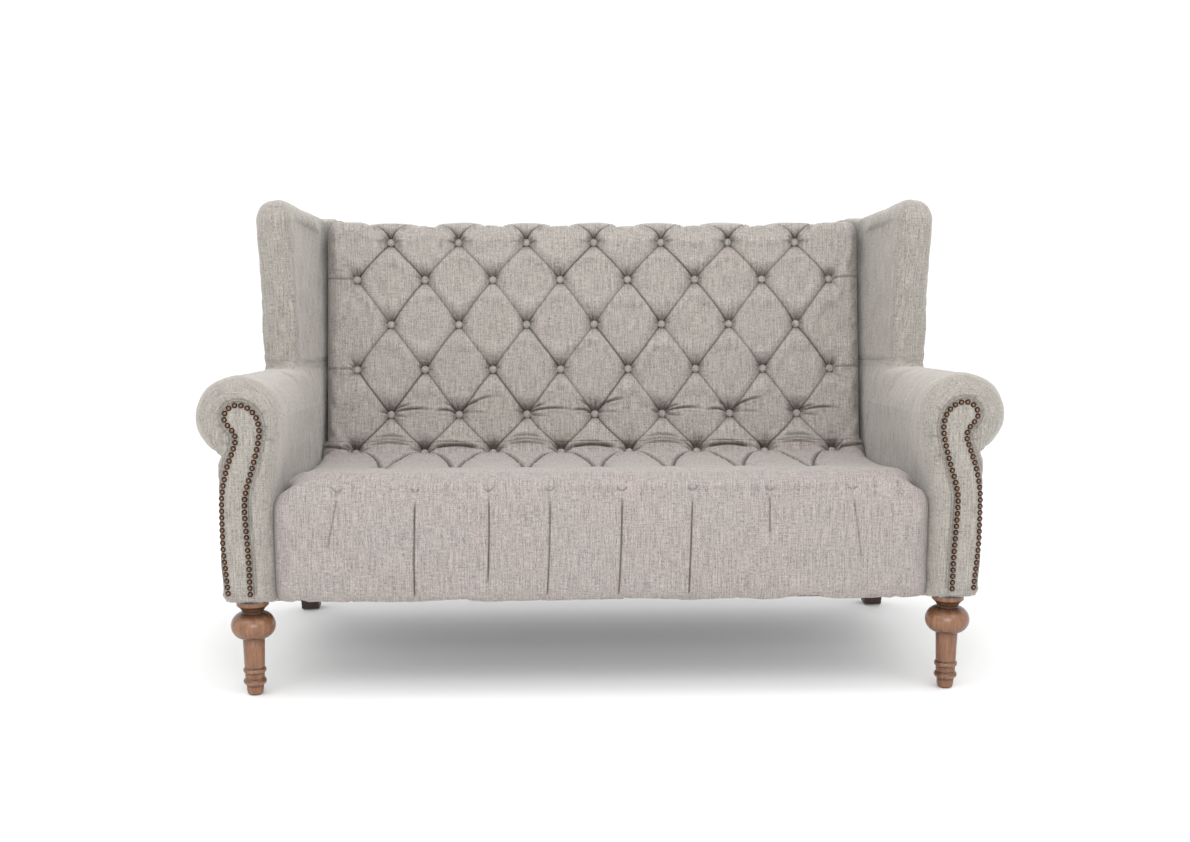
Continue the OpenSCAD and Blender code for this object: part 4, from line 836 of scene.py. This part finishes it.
def arm_piece():
    """The right arm and wing in one cover: joined, evened out, settled and pleated."""
    a = solid_object("arm_and_wing_right", *arm_lump())
    b = solid_object("tmp_wing", *wing_lump())
    with bpy.context.temp_override(active_object=a, selected_editable_objects=[a, b]):
        bpy.ops.object.join()
    remesh(a, 0.005)
    p = get_points(a)
    e = get_edges(a)
    # the wing's foot melts into the arm
    top = roll_z(p[:, 1]) + ROLL_R
    foot = np.exp(-((p[:, 2] - top + 2) / 54) ** 2) * smooth((p[:, 1] + 70) / 50)
    inner = smooth((arm_x(p[:, 1]) - 6 - p[:, 0]) / 36)
    p = relax(p, e, np.clip(foot * inner * 1.2, 0, 1), 110)
    p = relax(p, e, np.full(len(p), 0.7), 4)
    set_points(a, p)
    # the padding stands a little prouder on the scroll and on the wing's outer side
    no = get_normals(a)
    u, w = p[:, 0] - arm_x(p[:, 1]), p[:, 2] - roll_z(p[:, 1])
    ang = np.degrees(np.arctan2(w, u))
    swell = read([(-180, 3), (-90, 0), (-72, 1.5), (-50, 9), (-20, 8.5), (10, 6), (60, 0.5), (100, -1), (180, 2.5)],
                 ang)
    swell = lerp(swell, 3.0, smooth((w - 92) / 20)) * (1 - smooth((p[:, 2] - 1005) / 25) * 1.3)
    swell *= smooth((p[:, 2] - 450) / 60) * smooth((p[:, 1] - FRONT_Y - 2) / 14)
    swell *= smooth((out_y(p[:, 2]) - p[:, 1]) / 30)
    p = p + no * swell[:, None]
    set_points(a, p)
    # held at the hem, the front, the rear edge and on the outer wall's board
    x, y, z = p.T
    held = (z < FRONT_HEM + 8) | (y - FRONT_Y < 6) | (y > out_y(z) - 20)
    held |= (x - arm_x(y) > 25) & (z < roll_z(y) - 60)
    p = p + cloth_relax(a, np.where(held, 1, 0.3), 6, 2.0, 3.0, 16.0, 0.01)
    set_points(a, p)
    mod = a.modifiers.new("fine", "SUBSURF")
    mod.levels = mod.render_levels = 1
    apply_modifiers(a)
    p, no = get_points(a), get_normals(a)
    depth, dark = np.zeros(len(p)), np.zeros(len(p))
    # pleats round the scroll's front, and the seam beside the nails
    front = (p[:, 1] < FRONT_Y + 48) & (no[:, 1] < 0.35)
    field = (np.zeros(front.sum()), np.zeros(front.sum()), p[front][:, 0] - ARM_X, p[front][:, 2])
    r = np.random.default_rng(17)
    for t in np.linspace(5.0, 15.4, 24):
        t = np.array(t + r.uniform(-0.2, 0.2))
        a0, a1 = nail_offset(t, 8.5), nail_offset(t, 8.5 + r.uniform(7, 30))
        force = r.uniform(0.3, 1.0)
        stroke(field, bend_line(a0, a1, r.uniform(-0.15, 0.15), 8), 2.2 * force, 2.0, (0, 0.8), 0.75 * force, 0.4)
    line = np.linspace(0, LAST_KNOT, 140)
    stroke(field, nail_offset(line, 12.5), 1.6, 1.9, (0, 0), 0.6, 0.4)
    stroke(field, nail_offset(line, 7.0), 0.8, 2.2, (0, 0), 0.5, 0.0)
    depth[front] += field[0]
    dark[front] += field[1]
    w1, w2 = wobble(51, 120, 0.9), wobble(52, 40, 0.3)
    cloth = arm_cloth(p)
    depth += w1(cloth[:, 0], cloth[:, 1]) + w2(cloth[:, 0], cloth[:, 1])
    set_points(a, p - no * depth[:, None])
    set_cloth(a, cloth)
    # painted shade in the pleats and along the seam
    set_fold(a, np.clip(dark, 0, 1.2))
    a.data.polygons.foreach_set("use_smooth", np.ones(len(a.data.polygons), bool))
    return a


def mirrored(obj, name):
    """Its copy for the left side."""
    twin = put_in_scene(name, obj.data.copy())
    set_points(twin, get_points(obj) * (-1, 1, 1))
    twin.data.flip_normals()
    return twin


arm_right = arm_piece()
arm_left = mirrored(arm_right, "arm_and_wing_left")
set_cloth(arm_left, arm_cloth(get_points(arm_right)) + (310, 170))


def facing_piece():
    """The padded front panel of the right arm: crowned, with the nails' line pressed in."""
    off = 5.5
    inner = facing_outline(off, FRONT_HEM - 0.3)
    rings = [np.stack([ARM_X + inner[:, 0], np.full(len(inner), FRONT_Y + y), inner[:, 1]], -1) for y in (11.5, 1.0)]
    obj = solid_object("facing_panel_right", *loft(rings))
    remesh(obj, 0.0026)
    p = get_points(obj)
    near = np.full(len(p), 1e9)
    for u, z in nail_offset(np.linspace(0, LAST_KNOT, 300), off):
        near = np.minimum(near, np.hypot(p[:, 0] - ARM_X - u, p[:, 2] - z))
    near = np.minimum(near, np.abs(p[:, 2] - FRONT_HEM) + 12)
    front = smooth((FRONT_Y + 6 - p[:, 1]) / 4)
    bulge = 2.2 * (1 - np.exp(-near / 9.0)) - 2.6 * np.exp(-(near / 3.2) ** 2)
    p[:, 1] -= front * bulge
    p = relax(p, get_edges(obj), np.ones(len(p)), 2)
    set_points(obj, p)
    set_cloth(obj, np.stack([p[:, 0] + 55, p[:, 2]], -1))
    # painted shade in a band just beside the nails' line
    set_fold(obj, 0.55 * np.exp(-((near - 4.5) / 6.0) ** 2) * front)
    return obj


facing_right = facing_piece()
facing_left = mirrored(facing_right, "facing_panel_left")


def outside_back_piece():
    """The board-backed cover behind, slightly crowned, with a seam all round."""
    cols, rows = 150, 110
    z = lerp(HEM_Z + 1, OUTSIDE_TOP, np.linspace(0, 1, rows))
    # half its width: the arm's outer wall, the scroll's round end, and the back above it
    rz = roll_z(360)
    scroll = arm_x(350) + np.sqrt(np.maximum(0, ROLL_R ** 2 - (z - rz) ** 2))
    half = np.where(z > rz - ROLL_R + 1, np.maximum(scroll, OUTSIDE_HALF), arm_x(335) + ARM_OUT)
    half = np.where(z > rz + ROLL_R * 0.98, OUTSIDE_HALF, half)
    half = np.convolve(np.pad(half, 1, "edge"), np.ones(3) / 3, "valid")
    X = half[:, None] * np.linspace(-1, 1, cols)[None, :]
    edge = np.minimum(half[:, None] - np.abs(X), np.minimum(z - HEM_Z, OUTSIDE_TOP - z)[:, None])
    # its top corners reach up behind the wings
    Z = z[:, None] + 19 * smooth((np.abs(X) - 604) / 34) * smooth((z[:, None] - 925) / 46)
    Y = out_y(Z) + 2.6 * (1 - np.exp(-edge / 26)) - 2.4
    verts = np.concatenate([np.stack([X, y, Z], -1).reshape(-1, 3) for y in (Y, out_y(Z) - 5.8)])
    n = rows * cols
    faces = grid_faces(rows, cols)[:, ::-1].tolist() + grid_faces(rows, cols, start=n).tolist()
    grid = np.arange(n).reshape(rows, cols)
    ring = np.concatenate([grid[0], grid[1:, -1], grid[-1, -2::-1], grid[-2:0:-1, 0]]).tolist()
    faces += [[a, b, b + n, a + n] for a, b in zip(ring, ring[1:] + ring[:1])]
    cloth = np.concatenate([np.stack([X, Z], -1).reshape(-1, 2)] * 2)
    return new_object("outside_back_cover", verts, faces, cloth, np.zeros(len(verts)))


outside = outside_back_piece()

# ---- materials
class Material:
    """A material on one Principled shader, and short names for the nodes that feed it."""

    def __init__(self, name, **inputs):
        self.material = bpy.data.materials.new(name)
        self.material.use_nodes = True
        self.tree = self.material.node_tree
        self.tree.nodes.clear()
        self.bsdf = self.tree.nodes.new("ShaderNodeBsdfPrincipled")
        self.node("OutputMaterial", i0=self.bsdf.outputs[0])
        self.surface(**inputs)

    def put(self, socket, value):
        if isinstance(value, bpy.types.NodeSocket):
            self.tree.links.new(value, socket)
        else:
            socket.default_value = value

    def fill(self, node, inputs):
        for key, value in inputs.items():
            self.put(node.inputs[int(key[1:]) if key[1:].isdigit() else key.replace("_", " ")], value)

    def surface(self, **inputs):
        self.fill(self.bsdf, inputs)

    def node(self, kind, options=(), **inputs):
        """A node: its options, and its inputs by name or as i and their number."""
        n = self.tree.nodes.new("ShaderNode" + kind)
        for key, value in dict(options).items():
            setattr(n, key, value)
        self.fill(n, inputs)
        return n.outputs

    def math(self, op, a, b, clamp=False):
        return self.node("Math", {"operation": op, "use_clamp": clamp}, i0=a, i1=b)[0]

    def add(self, a, b, *rest):
        total = self.math("ADD", a, b)
        return self.add(total, *rest) if rest else total

    def sub(self, a, b):
        return self.math("SUBTRACT", a, b)

    def mul(self, a, b, clamp=False):
        return self.math("MULTIPLY", a, b, clamp)

    def over(self, value, floor, gain):
        """What lies over a floor, times a gain, up to 1."""
        return self.mul(self.math("SUBTRACT", value, floor, True), gain, True)

    def mix(self, fac, a, b, kind="MIX"):
        return self.node("Mix", {"data_type": "RGBA", "blend_type": kind}, i0=fac, i6=a, i7=b)[2]

    def noise(self, vector, scale, detail, rough=0.5):
        return self.node("TexNoise", Vector=vector, Scale=scale, Detail=detail, Roughness=rough)[0]

    def streaks(self, vector, scale, detail, rough=0.5, place=(0, 0, 0)):
        """Noise with its own scale along each axis."""
        return self.noise(self.node("Mapping", Vector=vector, Scale=scale, Location=place)[0], 1.0, detail, rough)

    def ramp(self, value, stops):
        n = self.tree.nodes.new("ShaderNodeValToRGB")
        self.put(n.inputs[0], value)
        e = n.color_ramp.elements
        e.remove(e[-1])
        e[0].position, e[0].color = stops[0][0], (*stops[0][1], 1)
        for pos, col in stops[1:]:
            e.new(pos).color = (*col, 1)
        return n.outputs[0]

    def place(self):
        """A point's place on the object."""
        return self.node("TexCoord")["Object"]

    def bump(self, height, strength, distance):
        self.surface(Normal=self.node("Bump", Strength=strength, Distance=distance, Height=height)[0])


def times(colour, share):
    return tuple(c * share for c in colour)


def fabric_material(name, tint, warm, sheen):
    """A slubbed linen weave, drawn over the cover's own threads, with painted shade in its folds, pits and crevices."""
    b = Material(name, Roughness=0.88, Specular_IOR_Level=0.2, Sheen_Weight=sheen, Sheen_Roughness=0.45,
                 Sheen_Tint=(0.95, 0.91, 0.87, 1))
    at = b.node("Attribute", {"attribute_name": "cloth"})["Vector"]
    fold = b.node("Attribute", {"attribute_name": "fold"})["Fac"]
    bend = b.node("TexNoise", Vector=at, Scale=9.0, Detail=1.0)["Color"]
    at = b.node("VectorMath", {"operation": "MULTIPLY_ADD"}, i0=bend, i1=(0.006, 0.006, 0.0), i2=at)[0]
    slub = b.streaks(at, (350, 20, 1), 3.0, 0.65)
    fine = b.streaks(at, (540, 150, 1), 2.0, 0.6, (3, 7, 0))
    weft = b.streaks(at, (42, 460, 1), 2.0, 0.6, (9, 2, 0))
    speck = b.streaks(at, (430, 260, 1), 1.0, 0.5, (1, 5, 0))
    show = b.streaks(at, (26, 12, 1), 1.0, 0.5, (4, 4, 0))
    patch = b.noise(at, 6.0, 2.0)
    across, down = b.node("SeparateXYZ", i0=at)[:2]
    # a herringbone that shows in places, and the single threads
    wave_turn, thread_turn = 2 * pi / 0.0062, 2 * pi / 0.0019
    tooth = b.math("PINGPONG", b.add(down, 0.3), 0.0125)
    twill = b.math("SINE", b.mul(b.add(across, tooth), wave_turn), 0.0)
    twill = b.mul(twill, b.over(show, 0.36, 3.0))
    thread = b.mul(*[b.math("SINE", b.mul(way, thread_turn), 0.0) for way in (across, down)])
    tone = b.add(*[b.mul(b.sub(value, 0.5), share) for value, share in ((slub, 1.9), (fine, 1.8), (weft, 1.2))],
                 b.mul(twill, 0.13), b.mul(thread, 0.05))
    tone = b.sub(tone, b.over(speck, 0.62, 1.6))
    tone = b.math("ADD", b.mul(tone, 0.78), 0.5, True)
    # the threads' tones: the dark ones are a little warmer than the pale ones
    steps = [(0.0, 0.46), (0.28, 0.78), (0.5, 1.0), (0.72, 1.19), (1.0, 1.46)]
    colour = b.ramp(tone, [(pos, tuple(c * k * (1 + 0.03 * (k - 1) * d) for c, d in zip(tint, (1, 0, -1))))
                           for pos, k in steps])
    colour = b.mix(b.over(patch, 0.42, 1.6), colour, b.mix(1.0, colour, (*warm, 1), "MULTIPLY"))
    # the colour of the painted shade in folds, pits and crevices
    deep = tuple(c * k for c, k in zip(tint, (0.17, 0.145, 0.12)))
    b.surface(Base_Color=b.mix(b.mul(fold, 0.78, True), colour, (*deep, 1)))
    b.bump(b.add(b.mul(slub, 0.55), b.add(b.mul(fine, 0.5), b.mul(thread, 0.08)), b.mul(twill, 0.07)), 0.7, 0.0016)
    return b.material


def wood_material(name, light, dark, scale, gloss, groove_shade=()):
    """Wood with its grain upright, with painted shade in its hollows and in the grooves: (height, darkness)."""
    b = Material(name)
    at = b.place()
    grain = b.streaks(at, (90 * scale, 90 * scale, 7 * scale), 4.0, 0.62)
    pores = b.streaks(at, (900, 900, 45), 2.0)
    bands = b.streaks(at, (22, 22, 3), 2.0)
    mixed = b.add(b.mul(grain, 0.62), b.mul(bands, 0.38))
    colour = b.ramp(mixed, [(0.30, dark), (0.52, tuple((x + y) / 2 for x, y in zip(light, dark))), (0.72, light)])
    colour = b.mix(b.mul(b.math("LESS_THAN", pores, 0.40), 0.35), colour, (*times(dark, 0.5), 1))
    # painted shade: darker in concave places
    painted_hollow_shade = b.mul(b.sub(0.5, b.node("NewGeometry")["Pointiness"]), 6.0, True)
    colour = b.mix(painted_hollow_shade, colour, (*times(dark, 0.28), 1))
    # painted shade in the grooves, by height
    if groove_shade:
        top = 220
        high = b.math("DIVIDE", b.node("SeparateXYZ", i0=at)[2], top / 1000)
        colour = b.mix(b.ramp(high, [(z / top, (k, k, k)) for z, k in groove_shade]), colour, (*times(dark, 0.3), 1))
    b.surface(Base_Color=colour, Roughness=b.add(b.mul(grain, 0.22), gloss - 0.1))
    b.bump(b.add(grain, b.mul(pores, 0.4)), 0.25, 0.0006)
    return b.material


def metal_material(name, light, dark, rough):
    """Metal with duller and brighter spots."""
    b = Material(name, Metallic=1.0)
    at = b.place()
    worn = b.noise(at, 160, 3.0, 0.6)
    b.surface(Base_Color=b.ramp(worn, [(0.35, dark), (0.62, light)]), Roughness=b.add(b.mul(worn, 0.25), rough))
    b.bump(b.noise(at, 640, 2.0), 0.15, 0.0004)
    return b.material


def plain_cloth_material(name, colour, scale):
    """Hemp or lining cloth, without a pattern of threads."""
    b = Material(name, Roughness=0.92)
    tex = b.streaks(b.place(), (scale, scale, scale), 3.0, 0.6)
    b.surface(Base_Color=b.ramp(tex, [(0.3, times(colour, 0.75)), (0.7, times(colour, 1.2))]))
    b.bump(tex, 0.4, 0.0008)
    return b.material


def nail_material(name):
    """Bronze heads with a painted highlight where they face forward, painted shade towards the rim, and worn spots at
    random.
    """
    b = Material(name, Metallic=0.85)
    # painted highlight and shade: the heads are brighter the more they face forward, and darker towards the rim
    face = b.mul(b.node("SeparateXYZ", i0=b.node("NewGeometry")["Normal"])[1], -1.0)
    worn = b.noise(b.place(), 260, 3.0, 0.6)
    top = b.math("ADD", b.over(face, 0.62, 2.6), b.mul(b.sub(worn, 0.5), 0.9), True)
    tones = [(0.0, (0.014, 0.009, 0.007)), (0.55, (0.05, 0.027, 0.017)), (1.0, (0.19, 0.10, 0.06))]
    b.surface(Base_Color=b.ramp(top, tones), Roughness=b.add(b.mul(worn, 0.2), 0.16))
    return b.material


linen = fabric_material("linen", (0.270, 0.242, 0.227), (1.03, 0.975, 0.975), 0.3)
linen_back = fabric_material("linen_back", (0.272, 0.249, 0.229), (1.01, 0.99, 0.975), 0.34)
linen_trim = fabric_material("linen_trim", (0.258, 0.240, 0.216), (0.99, 1.0, 0.975), 0.5)
# painted shade in the grooves of the front legs' turnings, by height in millimetres
turned = [(0, 0.3), (4, 0.0), (17, 0.1), (20.5, 0.8), (23, 0.0), (30, 0.0), (33, 0.75), (36, 0.1), (46, 0.1),
          (49.5, 0.7), (52, 0.0), (57, 0.0), (60.5, 0.75), (64, 0.1), (120, 0.0), (129, 0.25), (132, 0.7), (137, 0.2),
          (150, 0.0), (168, 0.0), (176, 0.25), (183, 0.85), (193, 0.6), (199, 0.85), (201, 0.1), (208, 0.0), (211, 0.5)]
by_slot = {
    "oak": wood_material("turned_oak", (0.29, 0.142, 0.074), (0.105, 0.044, 0.022), 1.0, 0.26, turned),
    "dark_oak": wood_material("dark_oak", (0.06, 0.034, 0.022), (0.02, 0.011, 0.008), 1.0, 0.5),
    "beech": wood_material("beech", (0.62, 0.43, 0.25), (0.42, 0.27, 0.15), 0.7, 0.6),
    "steel": metal_material("spring_steel", (0.42, 0.42, 0.43), (0.2, 0.2, 0.2), 0.35),
    "bronze": nail_material("bronze_painted_glint"),
    "hemp": plain_cloth_material("hemp", (0.42, 0.32, 0.2), 700),
    "cover_cloth": plain_cloth_material("cover_cloth", (0.02, 0.02, 0.02), 900),
    "fabric": linen,
    "trim_fabric": linen_trim,
}


def wear(obj, mat):
    obj.data.materials.clear()
    obj.data.materials.append(mat)


for part in frame["record"]["subparts"]:
    wear(nodes[part["node"]], by_slot[part["material_slot"]])
for name in ("front_leg_left", "front_leg_right", "arm_nails_left", "arm_nails_right"):
    mesh = nodes[name].data
    mesh.polygons.foreach_set("use_smooth", np.ones(len(mesh.polygons), bool))
    if "leg" in name:
        mesh.set_sharp_from_angle(angle=radians(50))

# each piece, its material and slot, the nodes it replaces, and how full it is if it is padded
dressed = [
    (back_obj, linen_back, "fabric", ["back_pad"], 0.8),
    (seat_obj, linen, "fabric", ["seat_pad"], 0.85),
    (arm_right, linen_trim, "fabric",
     ["arm_pad_right", "wing_pad_right", "outside_arm_right", "outside_wing_right"], 0.9),
    (arm_left, linen_trim, "fabric",
     ["arm_pad_left", "wing_pad_left", "outside_arm_left", "outside_wing_left"], 0.9),
    (facing_right, linen_trim, "trim_fabric", ["arm_facing_right"], None),
    (facing_left, linen_trim, "trim_fabric", ["arm_facing_left"], None),
    (back_buttons, linen_back, "fabric", ["back_buttons"], None),
    (seat_buttons, linen, "fabric", ["seat_buttons"], None),
    (outside, linen_back, "fabric", ["outside_back"], None),
]
for obj, mat, slot, replaced, fill in dressed:
    wear(obj, mat)
    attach(obj, "root")
    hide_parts(*replaced)

# ---- floor, light and camera
half = 30000
floor = new_object("floor", [(-half, -half, 0), (half, -half, 0), (half, half, 0), (-half, half, 0)], [(0, 1, 2, 3)],
                   smooth_shade=False)
wear(floor, Material("floor", Base_Color=(0.9, 0.9, 0.9, 1), Roughness=0.9).material)

world = bpy.data.worlds.new("studio")
scene.world = world
world.use_nodes = True
background = world.node_tree.nodes["Background"]
background.inputs["Color"].default_value = (1, 1, 1, 1)
background.inputs["Strength"].default_value = 1.2


def area(name, where, target, size, power):
    light = bpy.data.lights.new(name, "AREA")
    light.shape, light.size, light.size_y, light.energy = "RECTANGLE", size[0], size[1], power
    obj = put_in_scene(name, light)
    obj.location = where
    obj.rotation_euler = (Vector(target) - Vector(where)).to_track_quat("-Z", "Y").to_euler()


area("key", (-1.6, -1.7, 2.3), (0.5, 0.1, 0.6), (1.5, 1.2), 12)
area("fill", (1.6, -1.7, 2.3), (-0.5, 0.1, 0.6), (1.5, 1.2), 12)
area("front", (0.0, -4.2, 1.8), (0, 0, 0.6), (2.6, 1.6), 76)
area("top", (0.0, -0.5, 2.9), (0, 0, 0.5), (1.4, 1.0), 14)

# the camera stands where the photograph was taken from
camera = put_in_scene("camera", bpy.data.cameras.new("camera"))
camera.data.sensor_width, camera.data.lens = 36.0, 49.53
camera.location = (-0.1268, -3.796, 1.1426)
camera.rotation_euler = (pi / 2 - 0.1579, 0, -0.0321)
scene.camera = camera
scene.view_settings.view_transform = "Standard"
